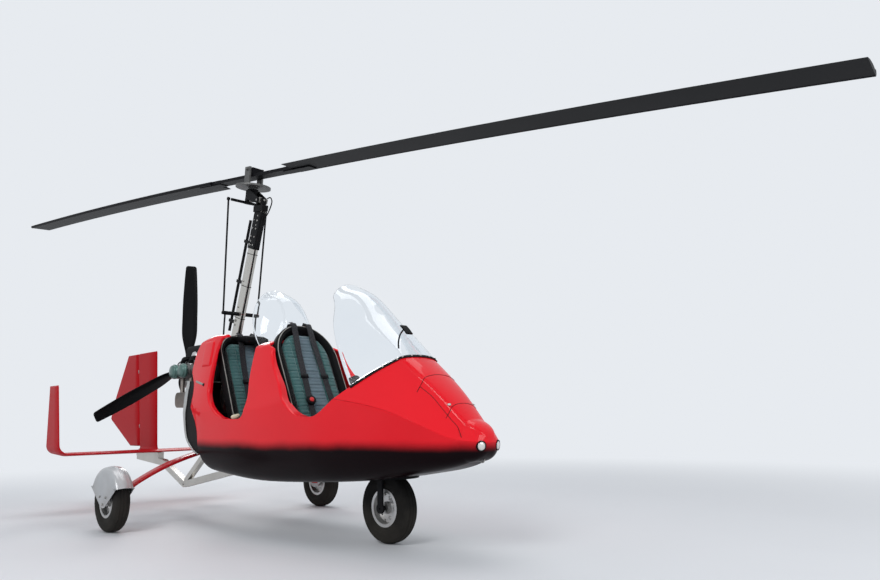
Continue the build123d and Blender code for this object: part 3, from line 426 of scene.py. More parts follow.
# the low mask gives both the dust low on the machine and the painted shade under the hull's belly
def build_low_mask():
    """Mask = share of the way down from Top to Bottom, broken up by noise."""
    group, given, out = new_group(
        "low_mask",
        [
            ("Bottom", "Float", 0.0), ("Top", "Float", 0.5),
            ("Break Up", "Float", 0.2), ("Scale", "Float", 9.0),
        ],
        [("Mask", "Float")],
    )
    place = add_node(group, "TexCoord").outputs["Object"]
    split = add_node(group, "SeparateXYZ", [(0, place)])
    centred = calculate(group, "SUBTRACT", speckle(group, place, given["Scale"], 4.0), 0.5)
    shifted = calculate(group, "MULTIPLY_ADD", centred, given["Break Up"], split.outputs["Z"])
    low = add_node(
        group, "MapRange",
        [("Value", shifted), ("From Min", given["Top"]), ("From Max", given["Bottom"])],
        interpolation_type="SMOOTHSTEP",
    )
    group.links.new(low.outputs[0], out["Mask"])
    return group


def build_cloth_weave():
    """Two crossing sets of waves: the larger of warp and weft gives height, and tints the threads."""
    group, given, out = new_group(
        "cloth_weave",
        [
            ("Threads", "Float", 900.0), ("Relief", "Float", 0.5),
            ("Base", "Color", (1, 1, 1, 1)), ("Second", "Color", (0, 0, 0, 1)),
        ],
        [("Color", "Color"), ("Normal", "Vector")],
    )
    place = add_node(group, "TexCoord").outputs["Object"]
    waves = []
    for direction in ("X", "Z"):
        wave = add_node(
            group, "TexWave", [("Vector", place), ("Scale", given["Threads"])],
            bands_direction=direction,
        )
        set_inputs(wave, Distortion=1.2, Detail=1.0)
        waves.append(wave.outputs["Fac"])
    height = calculate(group, "MAXIMUM", *waves)
    share = calculate(group, "MULTIPLY", height, speckle(group, place, 14.0, 4.0))
    group.links.new(mix_colours(group, share, given["Base"], given["Second"]), out["Color"])
    relief = add_node(group, "Bump", [("Strength", given["Relief"]), ("Height", height)])
    set_inputs(relief, Distance=THREAD_DEPTH)
    group.links.new(relief.outputs[0], out["Normal"])
    return group


surface_tone = build_surface_tone()
low_mask = build_low_mask()
cloth_weave = build_cloth_weave()
print("groups", surface_tone.name, low_mask.name, cloth_weave.name)

# %% [markdown]
# ## Finishes
# One table row makes one material. Sheen, coat and metal are plain numbers on the shader, so the
# export keeps them. Colour, roughness and normal change over the surface, and on the hull the coat
# does too, because the painted shade on its belly is dull.

# %% Make the finishes
def rgb(*values):
    """Three numbers as an opaque colour."""
    return (*values, 1.0)


DUST_TONE = rgb(0.24, 0.21, 0.17)
COAT_ROUGHNESS = 0.06


def place_group(tree, group, **values):
    """Put a node group into a material and set its inputs."""
    node = tree.nodes.new("ShaderNodeGroup")
    node.node_tree = group
    return set_inputs(node, **values)


def new_material(name):
    """A material, with its node tree and its Principled shader."""
    material = bpy.data.materials.new(name)
    material.use_nodes = True
    return material, material.node_tree, material.node_tree.nodes["Principled BSDF"]


def finish(name, base, second, rough=0.4, metal=0.0, coat=0.0, patch=(4, 0.3), fleck=(300, 0.2),
           spread=0.1, relief=0.1, stretch=(1, 1, 1), dust=0.0, **shader):
    """A material: the tone group feeds the shader, and dust low down if asked for."""
    material, tree, bsdf = new_material(name)
    tone = place_group(
        tree, surface_tone, Base=rgb(*base), Second=rgb(*second), Patch_Scale=patch[0], Patch_Amount=patch[1],
        Fleck_Scale=fleck[0], Fleck_Amount=fleck[1], Roughness=rough, Roughness_Spread=spread,
        Relief=relief, Stretch=stretch,
    )
    colour = tone.outputs["Color"]
    if dust:
        low = place_group(tree, low_mask, Bottom=0.0, Top=0.42, Break_Up=0.5, Scale=7.0)
        amount = calculate(tree, "MULTIPLY", low.outputs[0], dust)
        colour = mix_colours(tree, amount, colour, DUST_TONE)
    tree.links.new(colour, bsdf.inputs["Base Color"])
    tree.links.new(tone.outputs["Roughness"], bsdf.inputs["Roughness"])
    tree.links.new(tone.outputs["Normal"], bsdf.inputs["Normal"])
    set_inputs(bsdf, Metallic=metal, Coat_Weight=coat, Coat_Roughness=COAT_ROUGHNESS, **shader)
    return material


RED, DEEP_RED = (0.86, 0.008, 0.018), (0.66, 0.005, 0.012)
GELCOAT = dict(
    coat=0.5, patch=(1.6, 0.3), fleck=(420, 0.08), spread=0.06, relief=0.02,
    Specular_IOR_Level=0.04, Coat_IOR=1.40,
)
MATT = dict(Specular_IOR_Level=0.07)
# painted shade: the near black that the hull's red is mixed to below its widest line
BELLY_SHADE = rgb(0.006, 0.002, 0.003)
# name: base, second, roughness, then what differs from a plain finish
finish_rows = {
    "red_gelcoat": (RED, DEEP_RED, 0.30, GELCOAT),
    # the hull's red; painted shade is mixed in below its widest line further down
    "hull_gelcoat_painted_shade": (RED, DEEP_RED, 0.30, GELCOAT),
    "tail_gelcoat": (
        (0.50, 0.004, 0.010), (0.36, 0.003, 0.008), 0.42,
        dict(coat=0.08, patch=(1.6, 0.3), fleck=(420, 0.08), relief=0.02, Coat_IOR=1.40, **MATT),
    ),
    "silver_shell": (
        (0.46, 0.47, 0.48), (0.34, 0.35, 0.36), 0.30,
        dict(metal=0.25, coat=0.6, patch=(9, 0.4), fleck=(900, 0.2), dust=0.5),
    ),
    "grey_composite": (
        (0.50, 0.51, 0.50), (0.38, 0.39, 0.38), 0.45, dict(patch=(8, 0.4), relief=0.2)
    ),
    "black_composite": (
        (0.004, 0.004, 0.0045), (0.011, 0.011, 0.012), 0.46, dict(patch=(7, 0.4), relief=0.25, **MATT)
    ),
    "black_metal": (
        (0.006, 0.006, 0.007), (0.020, 0.020, 0.022), 0.40, dict(patch=(14, 0.3), relief=0.2, **MATT)
    ),
    "red_metal": (
        (0.50, 0.004, 0.010), (0.28, 0.003, 0.007), 0.30,
        dict(coat=0.5, patch=(5, 0.4), dust=0.12, Coat_IOR=1.40, **MATT),
    ),
    "stainless": (
        (0.60, 0.585, 0.55), (0.40, 0.385, 0.35), 0.26,
        dict(metal=1.0, patch=(5, 0.4), fleck=(260, 0.25), spread=0.22, relief=0.12,
             stretch=(1, 1, 0.06), Anisotropic=0.4),
    ),
    "dull_steel": (
        (0.42, 0.41, 0.39), (0.24, 0.23, 0.21), 0.34,
        dict(metal=1.0, patch=(16, 0.5), spread=0.2, relief=0.3),
    ),
    "alloy": (
        (0.62, 0.62, 0.62), (0.42, 0.42, 0.42), 0.32,
        dict(metal=1.0, patch=(18, 0.4), spread=0.15, relief=0.2, dust=0.3),
    ),
    "dark_alloy": (
        (0.10, 0.10, 0.10), (0.20, 0.20, 0.19), 0.42,
        dict(metal=0.8, patch=(22, 0.5), spread=0.2, relief=0.5),
    ),
    "cover_green": (
        (0.055, 0.13, 0.115), (0.12, 0.20, 0.18), 0.34, dict(metal=0.5, coat=0.3, patch=(26, 0.4))
    ),
    "blade_black": (
        (0.003, 0.003, 0.004), (0.009, 0.009, 0.011), 0.42,
        dict(patch=(3, 0.4), fleck=(600, 0.2), **MATT),
    ),
    "prop_carbon": (
        (0.003, 0.003, 0.0035), (0.008, 0.008, 0.009), 0.36,
        dict(coat=0.05, patch=(10, 0.3), fleck=(900, 0.3), **MATT),
    ),
    "rubber": (
        (0.005, 0.005, 0.0055), (0.016, 0.0155, 0.015), 0.66,
        dict(patch=(12, 0.4), fleck=(500, 0.3), relief=0.5, dust=0.10, **MATT),
    ),
    "seal_rubber": (
        (0.008, 0.008, 0.009), (0.02, 0.02, 0.02), 0.55, dict(patch=(20, 0.4), relief=0.4, **MATT)
    ),
    "seat_plastic": (
        (0.005, 0.005, 0.0055), (0.012, 0.012, 0.013), 0.56,
        dict(patch=(12, 0.4), fleck=(1200, 0.4), relief=0.6, **MATT),
    ),
    "piping": ((0.42, 0.41, 0.38), (0.25, 0.24, 0.22), 0.6, dict(patch=(30, 0.5))),
    "cream_cap": ((0.80, 0.74, 0.55), (0.6, 0.54, 0.38), 0.45, dict(patch=(40, 0.4))),
    "red_button": ((0.75, 0.02, 0.02), (0.5, 0.01, 0.01), 0.4, dict(patch=(40, 0.3))),
    "dial_face": ((0.02, 0.02, 0.022), (0.05, 0.05, 0.05), 0.3, dict(coat=0.6, patch=(60, 0.3))),
    "hot_steel": (
        (0.34, 0.31, 0.28), (0.20, 0.17, 0.15), 0.34,
        dict(metal=1.0, patch=(9, 0.7), spread=0.2, relief=0.2),
    ),
    "lamp_lens": (
        (0.78, 0.78, 0.74), (0.6, 0.6, 0.56), 0.14,
        dict(coat=1.0, metal=0.35, patch=(60, 0.5), fleck=(420, 0.4), relief=0.8),
    ),
}
finishes = {
    name: finish(name, base, second, rough, **more)
    for name, (base, second, rough, more) in finish_rows.items()
}
print(len(finishes), "plain finishes")

# %% [markdown]
# Three finishes need more than the table gives. The hull is red all over; below its widest line,
# painted shade takes it to near black with a soft edge. That shade could be painted on a second piece
# but is one mask on the same shell. Seat cloth is woven, so it has a sheen at grazing angles. The
# screens are clear, with hardly any roughness.

# %% Paint shade on the belly, weave the cloths, clear the screens
def paint_belly_shade(material):
    """Painted shade: mix the hull's red to near black below its widest line, with a soft edge."""
    tree = material.node_tree
    bsdf = tree.nodes["Principled BSDF"]
    above = bsdf.inputs["Base Color"].links[0].from_socket
    low = place_group(tree, low_mask, Bottom=0.535, Top=0.612, Break_Up=0.05, Scale=2.2)
    tree.links.new(mix_colours(tree, low.outputs[0], above, BELLY_SHADE), bsdf.inputs["Base Color"])
    gloss = add_node(tree, "MapRange", [("Value", low.outputs[0])])
    set_inputs(gloss, To_Min=GELCOAT["coat"], To_Max=0.06)
    tree.links.new(gloss.outputs[0], bsdf.inputs["Coat Weight"])


paint_belly_shade(finishes["hull_gelcoat_painted_shade"])


def cloth(name, base, second, threads, rough=0.85, sheen=0.4, relief=0.5):
    """Woven cloth: the weave group gives colour and normal, and sheen is set on the shader."""
    material, tree, bsdf = new_material(name)
    weave = place_group(
        tree, cloth_weave, Threads=threads, Relief=relief, Base=rgb(*base), Second=rgb(*second)
    )
    tree.links.new(weave.outputs["Color"], bsdf.inputs["Base Color"])
    tree.links.new(weave.outputs["Normal"], bsdf.inputs["Normal"])
    set_inputs(bsdf, Roughness=rough, Sheen_Weight=sheen, Sheen_Roughness=0.5, Specular_IOR_Level=0.3)
    return material


# name: base, second, threads a metre, then what differs
cloths = {
    "seat_teal": ((0.035, 0.115, 0.115), (0.10, 0.24, 0.23), 260, {}),
    "seat_centre": ((0.075, 0.125, 0.155), (0.20, 0.29, 0.33), 260, {}),
    "seat_mesh": ((0.010, 0.011, 0.012), (0.028, 0.030, 0.031), 320, dict(relief=0.8)),
    "webbing": ((0.008, 0.008, 0.012), (0.022, 0.022, 0.028), 420, dict(sheen=0.2, relief=0.9)),
}
for name, (base, second, threads, more) in cloths.items():
    finishes[name] = cloth(name, base, second, threads, **more)


def clear_screen():
    """Clear acrylic: full transmission, a faint cool tint, fine scratches in the roughness."""
    material, tree, bsdf = new_material("clear_screen")
    tone = place_group(
        tree, surface_tone, Base=rgb(0.93, 0.96, 0.98), Second=rgb(0.86, 0.90, 0.94),
        Patch_Scale=3.0, Patch_Amount=0.4, Fleck_Scale=700.0, Fleck_Amount=0.05,
        Roughness=0.01, Roughness_Spread=0.03, Relief=0.01,
    )
    tree.links.new(tone.outputs["Color"], bsdf.inputs["Base Color"])
    tree.links.new(tone.outputs["Roughness"], bsdf.inputs["Roughness"])
    set_inputs(bsdf, Transmission_Weight=1.0, IOR=1.25, Coat_Weight=0.15, Coat_Roughness=0.02)
    return material


finishes["clear_screen"] = clear_screen()


def dress(piece, material, body="airframe", replaces=()):
    """Give a piece its finish and its body, and hide the nodes it stands for."""
    piece.data.materials.clear()
    piece.data.materials.append(finishes[material])
    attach(piece, body)
    if replaces:
        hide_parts(*replaces)


print(len(finishes), "finishes")

# %% [markdown]
# ## The plain solids that stay
# Each node of the frame gets a finish, also those that a later piece stands for, so that nothing
# is ever left bare.

# %% Finish the frame's own nodes
node_finish = {
    "stainless": ["mast", "keel_frame"],
    "black_metal": [
        "control_bar", "engine_mount", "head_bridge", "mast_fork", "nose_fork", "push_rods",
        "spin_up_drive",
    ],
    "dull_steel": ["stub_axle_left", "stub_axle_right", "head_gimbal"],
    "alloy": ["wheel_rim_left", "wheel_rim_right", "nose_rim", "prop_hub"],
    "dark_alloy": ["engine_block", "engine_cylinders", "gearbox", "rotor_tower"],
    "cover_green": ["valve_covers"],
    "black_composite": ["intake_box", "rear_liner"],
    "hot_steel": ["exhaust"],
    "prop_carbon": ["prop_blades"],
    "blade_black": ["rotor_blades", "hub_bar"],
    "red_gelcoat": ["nose_hood", "hood_hatch", "cockpit_divider", "rear_cowl", "instrument_panel"],
    "tail_gelcoat": ["tailplane", "fin", "rudder"],
    "hull_gelcoat_painted_shade": ["hull_tub"],
    "red_metal": ["gear_bow"],
    "silver_shell": ["fender_left", "fender_right"],
    "rubber": ["tyre_left", "tyre_right", "nose_tyre"],
    "seat_plastic": ["front_seat_shell", "rear_seat_shell"],
    "seat_teal": ["front_back_cushion", "front_base_cushion", "rear_back_cushion", "rear_base_cushion"],
    "clear_screen": ["front_screen", "rear_screen"],
    "lamp_lens": ["nose_lamps"],
}
for material, names in node_finish.items():
    for name in names:
        nodes[name].data.materials.clear()
        nodes[name].data.materials.append(finishes[material])
named = {name for names in node_finish.values() for name in names}
print("nodes without a finish:", sorted(set(nodes) - named))

# %% [markdown]
# ## The pod's skin
# The pod is one moulded shell, split into panels. It could be drawn as a subdivided cage, but a
# formula keeps every panel on the same surface: nine cross sections give the heights and half
# widths of the floor, the belt, the crease, the crest and the crown, and a monotone cubic runs
# between them from tail to nose. A second parameter walks up each section.

# %% Describe the pod's skin
# x, floor z, floor y, belt z, belt y, crease z, crease y, crest z, crest y, crown z
POD_ROWS = np.array([
    (-0.470, 0.432, 0.150, 0.620, 0.320, 0.800, 0.330, 1.270, 0.250, 1.330),
    (0.000, 0.365, 0.200, 0.600, 0.372, 0.800, 0.378, 1.330, 0.290, 1.385),
    (0.600, 0.330, 0.210, 0.590, 0.388, 0.800, 0.388, 1.200, 0.300, 1.275),
    (1.250, 0.352, 0.200, 0.590, 0.380, 0.860, 0.372, 1.290, 0.225, 1.340),
    (1.600, 0.374, 0.165, 0.590, 0.345, 0.820, 0.345, 1.180, 0.180, 1.235),
    (1.860, 0.408, 0.125, 0.590, 0.302, 0.768, 0.312, 1.015, 0.145, 1.060),
    (2.080, 0.442, 0.090, 0.575, 0.232, 0.683, 0.250, 0.845, 0.115, 0.880),
    (2.250, 0.488, 0.050, 0.565, 0.132, 0.606, 0.145, 0.680, 0.085, 0.712),
    (2.352, 0.560, 0.012, 0.575, 0.032, 0.590, 0.036, 0.602, 0.022, 0.610),
])
SILL = 0.740
NOSE_START, NOSE_TIP = 2.250, 2.352
NOSE_POINT = np.array([NOSE_TIP, 0.0, 0.590])
CREASE, CREST, CROWN = 3.0, 4.0, 5.0
FIRST_HEIGHT = 0.9


def monotone_slopes(at, values):
    """Slopes of a monotone cubic: the harmonic mean of both spans, or 0 where they disagree."""
    step = np.diff(at)[:, None]
    rise = np.diff(values, axis=0) / step
    before, after = 2 * step[1:] + step[:-1], step[1:] + 2 * step[:-1]
    agree = rise[:-1] * rise[1:] > 0
    with np.errstate(divide="ignore", invalid="ignore"):
        mean = (before + after) / (before / rise[:-1] + after / rise[1:])
    return np.vstack([rise[:1], np.where(agree, mean, 0), rise[-1:]])


def cubic(low, high, low_slope, high_slope, t, span):
    """Cubic curve from a to b with the slopes m and n:
    a (1 + 2t)(1 - t)^2 + b t^2 (3 - 2t) + span (m t (1 - t)^2 + n t^2 (t - 1))."""
    return (
        low * (1 + 2 * t) * (1 - t) ** 2 + high * t**2 * (3 - 2 * t)
        + span * (low_slope * t * (1 - t) ** 2 + high_slope * t**2 * (t - 1))
    )


POD_SLOPES = monotone_slopes(POD_ROWS[:, 0], POD_ROWS[:, 1:])


def pod_row(x):
    """The nine section sizes at x: a cubic curve through the rows. Near the tip, x is
    moved along a quarter circle, so that the nose ends round."""
    x = np.asarray(x, float)
    share = np.clip((x - NOSE_START) / (NOSE_TIP - NOSE_START), 0, 1)
    bent = 0.35 * share + 0.65 * (1 - np.sqrt(np.maximum(1 - share**2, 0)))
    x = np.where(x > NOSE_START, NOSE_START + (NOSE_TIP - NOSE_START) * bent, x)
    at = POD_ROWS[:, 0]
    row = np.clip(np.searchsorted(at, x) - 1, 0, len(at) - 2)
    span = (at[row + 1] - at[row])[..., None]
    t = np.clip((x - at[row])[..., None] / span, 0, 1)
    low, high = POD_ROWS[row, 1:], POD_ROWS[row + 1, 1:]
    return cubic(low, high, POD_SLOPES[row], POD_SLOPES[row + 1], t, span)


def pod_sharp(x, s):
    """Section point: s runs 0-1 on the floor, 1-2 round the bilge (quarter ellipse), 2-3 to the
    crease, 3-4 to the crest (straight lines) and 4-5 over the crown (quarter ellipse)."""
    flip = np.where((s < 0) | (s > CROWN), -1.0, 1.0)
    s = np.abs(s)
    s = np.where(s > CROWN, 2 * CROWN - s, s)
    fz, fy, bz, by, cz, cy, tz, ty, top = np.moveaxis(pod_row(x), -1, 0)
    turn = np.clip(s - 1, 0, 1) * PI / 2
    over = np.clip(s - 4, 0, 1) * PI / 2
    side = np.clip(s - 2, 0, 1)
    upper = np.clip(s - 3, 0, 1)
    y = np.select(
        [s < 1, s < 2, s < 3, s < 4],
        [fy * s, fy + (by - fy) * np.sin(turn), by + (cy - by) * side, cy + (ty - cy) * upper],
        ty * np.cos(over),
    )
    z = np.select(
        [s < 1, s < 2, s < 3, s < 4],
        [fz, bz - (bz - fz) * np.cos(turn), bz + (cz - bz) * side, cz + (tz - cz) * upper],
        tz + (top - tz) * np.sin(over),
    )
    return np.stack([x, y * flip, z], -1)


STEP = 2e-3


def pod(x, s, inset=0.0, soft=0.035):
    """The skin with softened edges: the mean of five points of the section near s, then drawn
    in along the normal. A negative s is the right side."""
    x, s = np.broadcast_arrays(np.asarray(x, float), np.asarray(s, float))
    side = np.where(s < 0, -1.0, 1.0)[..., None]
    offsets = np.array([-1, -0.5, 0, 0.5, 1]) * soft
    place = np.mean([pod_sharp(x, np.abs(s) + offset) for offset in offsets], axis=0)
    if np.any(inset):
        ahead = pod(x + STEP, np.abs(s), soft=soft) - pod(x - STEP, np.abs(s), soft=soft)
        around = pod(x, np.abs(s) + STEP, soft=soft) - pod(x, np.abs(s) - STEP, soft=soft)
        place = place - unit(np.cross(around, ahead)) * np.asarray(inset)[..., None]
    return place * np.concatenate([np.ones_like(side), side, np.ones_like(side)], -1)


def pod_parameter(x, z):
    """The inverse, from the belt up: the s at which the section reaches a height."""
    _, _, bz, _, cz, _, tz, _, top = np.moveaxis(pod_row(x), -1, 0)
    arch = np.arcsin(np.clip((z - tz) / (top - tz), 0, 1)) * 2 / PI
    return np.select([z < cz, z < tz], [2 + (z - bz) / (cz - bz), 3 + (z - cz) / (tz - cz)], 4 + arch)


def edge(points):
    """A panel's edge in the side view, as x for each height, smoothed by a monotone cubic."""
    points = np.asarray(points, float)[:, ::-1]
    points = points[np.argsort(points[:, 0])]
    slopes = monotone_slopes(points[:, 0], points[:, 1:])

    def at(z):
        """x of the edge at the height z."""
        row = np.clip(np.searchsorted(points[:, 0], z) - 1, 0, len(points) - 2)
        span = points[row + 1, 0] - points[row, 0]
        t = np.clip((z - points[row, 0]) / span, 0, 1)
        return cubic(points[row, 1], points[row + 1, 1], slopes[row, 0], slopes[row + 1, 0], t, span)

    return at


def panel(rear, front, low, high, across, up, turns=40):
    """A panel of the skin: x = rear + u (front - rear), both edges taken at the point's own
    height, and s = low + v (high - low). The height depends on x, so the sum is repeated with
    a damped step until it settles. low and high are functions of x that give s."""
    u, v = np.meshgrid(np.linspace(0, 1, across), np.linspace(0, 1, up), indexing="ij")
    x = rear(FIRST_HEIGHT + 0 * u) * (1 - u) + front(FIRST_HEIGHT + 0 * u) * u
    for _ in range(turns):
        s = low(x) + (high(x) - low(x)) * v
        height = pod(x, s, soft=0.0)[..., 2]
        x = x + 0.35 * (rear(height) * (1 - u) + front(height) * u - x)
    return pod(x, s)


def both_sides(half):
    """Mirror a grid whose last column lies on the middle plane, as one grid right to left."""
    return np.concatenate([half * (1, -1, 1), half[:, -2::-1]], axis=1)


def mirrored(points):
    """The same points on the other side of the middle plane."""
    return np.asarray(points, float) * (1, -1, 1)


print("pod length", round(float(np.ptp(POD_ROWS[:, 0])), 3))

# %% [markdown]
# ## Lower hull
# The tub runs from the slanted edge behind the rear seat to the nose. It is one grid from the
# right sill under the belly to the left sill. A Solidify modifier gives it its wall, and a bevel
# gives the sill the rounded lip that the light catches. The nose wheel's well is cut with a
# Boolean and lined with a cup of its own.

# %% Shape the lower hull
HULL_WALL = 0.014
NOSE_GAP = 0.001
OPENING_FOOT = 1.325
OPENING_RISE = np.tan(np.radians(33.6))
FOOT_ROUND = 0.022
tub_rear = edge([(-0.060, 0.300), (-0.080, 0.440), (-0.084, 0.502), (-0.092, 0.648), (-0.130, 0.740)])


def with_nose(half):
    """Both sides of a half grid, closed at the nose by one more row, all at the nose point."""
    grid = both_sides(half)
    return np.concatenate([grid, 0 * grid[-1:] + NOSE_POINT])


def tub_top(x):
    """The s of the tub's upper edge: sill, rise and crease. The sill turns into the rise by
    w log(1 + exp(x / w)), a corner rounded over the width w."""
    height = SILL + FOOT_ROUND * OPENING_RISE * np.logaddexp(0, (x - OPENING_FOOT) / FOOT_ROUND)
    return np.minimum(pod_parameter(x, height), CREASE)


# u runs along the hull, closer together towards the nose; v runs from the sill to the keel
u, v = np.meshgrid(np.linspace(0, 1, 220), np.linspace(0, 1, 70), indexing="ij")
u = 1 - (1 - u) ** 1.25
x = -0.1 + 2.45 * u
for _ in range(30):
    s = tub_top(x) * (1 - v)
    start = tub_rear(pod(x, s, soft=0.0)[..., 2])
    x = x + 0.5 * (start + (NOSE_TIP - NOSE_GAP - start) * u - x)
lower_hull = surface("lower_hull", with_nose(pod(x, s)), wall=HULL_WALL)
round_edges(lower_hull, 0.005, steps=3, angle=50)
print("lower hull", len(lower_hull.data.polygons), "faces")

# %% [markdown]
# The nose wheel stands half inside the hull. The well could be modelled into the grid, which would
# bend the belly's rows round a circle. A Boolean with a plain drum leaves the skin as it is, and a
# cup with a rounded rim lines the cut. The steering stem goes up through the cup's sleeve.

# %% Cut the nose wheel's well
WELL_RADIUS, WELL_TOP, WELL_FOOT = 0.172, 0.452, 0.377
CUP_WALL = 0.008
STEM_RADIUS, STEM_TOP = 0.021, 0.600
AXLE_X = 1.557


def apply_modifiers(made):
    """Replace a piece's mesh by its evaluated one, and drop the modifiers."""
    shape = bpy.data.meshes.new_from_object(made.evaluated_get(bpy.context.evaluated_depsgraph_get()))
    made.modifiers.clear()
    made.data = shape


def cut(made, cutter):
    """Take the cutter's volume away from a piece, and remove the cutter."""
    tool = made.modifiers.new("cut", "BOOLEAN")
    tool.operation, tool.object, tool.solver = "DIFFERENCE", cutter, "EXACT"
    bpy.context.view_layer.update()
    apply_modifiers(made)
    bpy.data.objects.remove(cutter)


cut(
    lower_hull,
    turned(
        "well_cutter", [(0, 0.2), (WELL_RADIUS, 0.2), (WELL_RADIUS, WELL_TOP), (0, WELL_TOP)],
        (AXLE_X, 0, 0), (0, 0, 1), 72,
    ),
)
lower_hull.data.shade_smooth()
well_cup = turned(
    "well_cup",
    [
        (STEM_RADIUS, WELL_TOP), (WELL_RADIUS - 0.02, WELL_TOP), (WELL_RADIUS - 0.004, WELL_TOP - 0.012),
        (WELL_RADIUS, WELL_TOP - 0.03), (WELL_RADIUS, WELL_FOOT), (WELL_RADIUS + CUP_WALL, WELL_FOOT),
        (WELL_RADIUS + CUP_WALL, WELL_TOP + CUP_WALL), (0.04, WELL_TOP + 0.010), (0.038, STEM_TOP),
        (STEM_RADIUS, STEM_TOP),
    ],
    (AXLE_X, 0, 0), (0, 0, 1), 72, closed=True,
)
dress(lower_hull, "hull_gelcoat_painted_shade", replaces=["hull_tub"])
dress(well_cup, "black_composite")
print("wheel well cut at", AXLE_X)

# %% [markdown]
# ## Hood and nose panel
# The hood closes the pod ahead of the cockpit, from the crease over the crown. Its rear edge lies
# in the plane that rises towards the screen. The nose panel is part of the same surface; thin dark
# seams and a small latch show where it opens.

# %% Shape the hood
SEAM_STEP = 0.006
SEAM_RADIUS, SEAM_LIFT = 0.0014, 0.0004


def opening_edge(z):
    """x of the cockpit's front edge at a height: a straight slope."""
    return OPENING_FOOT + (z - SILL) / OPENING_RISE


def nose_end(z):
    """The nose tip, at every height."""
    return NOSE_TIP - NOSE_GAP + 0 * z


hood_half = panel(
    opening_edge, nose_end, lambda x: CREASE + SEAM_STEP + 0 * x, lambda x: CROWN + 0 * x, 150, 44
)
hood = surface("hood", with_nose(hood_half), wall=0.007)
round_edges(hood, 0.0025, angle=50)
dress(hood, "red_gelcoat", replaces=["nose_hood", "hood_hatch"])


def on_pod(points, inset=0.0):
    """Points given in the side view as (x, z), put on the right side of the skin."""
    points = np.asarray(points, float)
    place = pod(points[:, 0], pod_parameter(points[:, 0], points[:, 1]), inset)
    return mirrored(place)


def seam_across(x, low):
    """A seam at one x, from the right side's s = low over the crown to the left side."""
    s = np.linspace(low, CROWN, 14)
    line = pod(x + 0 * s, s, -SEAM_LIFT)
    return tube("seam", np.concatenate([mirrored(line), line[-2::-1]]), SEAM_RADIUS, 60, 8)


seam_side = [
    (1.985, 0.893), (2.060, 0.838), (2.125, 0.776), (2.185, 0.713), (2.225, 0.672), (2.262, 0.620),
]
right_seam = on_pod(seam_side, -SEAM_LIFT)
seams = [tube("seam", line, SEAM_RADIUS, 40, 8) for line in (right_seam, mirrored(right_seam))]
seams.append(seam_across(2.165, CREST - 0.35))
seams.append(seam_across(1.985, CREST - 0.30))
dress(join("panel_seams", *seams), "seal_rubber")
latches = []
for x_at, s_at in ((2.150, 4.25), (2.150, -4.25)):
    middle = pod(np.array([x_at]), np.array([s_at]))[0]
    latches.append(turned("latch", knob(0.011, 0.004), middle, (0.35, np.sign(s_at) * 0.35, 0.87), 24))
dress(join("nose_latches", *latches), "dull_steel")
print("hood", len(hood.data.polygons), "faces")

# %% [markdown]
# Two lamps sit in the nose, each a domed lens in a ring. They have to stand on the skin, so their
# place isn't typed in: the bilge's formula is searched for the x at which the skin is as wide as
# the lamps stand apart. A bent hook hangs below them.

# %% Set the nose lamps
LAMP_Y, LAMP_Z = 0.062, 0.575
LAMP_SINK = 0.012
LENS_RADIUS = 0.0235
lamp_x = np.linspace(2.20, 2.351, 200)
fz, fy, bz, by = np.moveaxis(pod_row(lamp_x), -1, 0)[:4]
lamp_turn = np.arccos(np.clip((bz - LAMP_Z) / (bz - fz), 0, 1))
skin_y = fy + (by - fy) * np.sin(lamp_turn)
lamp_row = int(np.argmin(np.abs(skin_y - LAMP_Y)))
lamp_at = np.array([lamp_x[lamp_row], LAMP_Y, LAMP_Z])
print("lamp at", lamp_at.round(4))
lenses, rings = [], []
for side in (-1, 1):
    spot = lamp_at * (1, side, 1) - np.array([LAMP_SINK, 0, 0])
    facing = (0.93, side * 0.34, -0.10)
    lenses.append(turned(
        "lens",
        [(0, 0), (LENS_RADIUS, 0), (LENS_RADIUS, 0.012), (0.018, 0.0165), (0.010, 0.0185), (0, 0.019)],
        spot, facing, 40,
    ))
    rings.append(turned(
        "ring",
        [
            (LENS_RADIUS, 0), (0.0285, 0), (0.0285, 0.012), (0.027, 0.015), (0.0245, 0.015),
            (LENS_RADIUS, 0.012),
        ],
        spot, facing, 40, closed=True,
    ))
dress(join("nose_lamp_glass", *lenses), "lamp_lens", replaces=["nose_lamps"])
dress(join("nose_lamp_rings", *rings), "black_composite")
tow_hook = tube(
    "tow_hook",
    [
        (2.262, -0.006, 0.520), (2.278, -0.006, 0.496), (2.292, 0.0, 0.486), (2.300, 0.004, 0.498),
        (2.292, 0.006, 0.508),
    ],
    0.0035, 40, 10,
)
dress(tow_hook, "dull_steel")

# %% [markdown]
# ## Fairings between and behind the seats
# Both fairings are skin panels with a rim rolled inwards, as a moulding has where a hand may grip
# it. A thick wall with a bevel would look alike, but its inner face would stand far inside. The
# fairing behind the front seat goes over the top, and the rear one leaves a gap for the mast.

# %% Shape the fairings
LIP_RADIUS = 0.016
FAIRING_WALL = 0.006


def facing_out(directions):
    """Directions on the left half, turned round where they point towards the middle plane."""
    return directions * np.where(directions[..., 1:2] < 0, -1, 1)


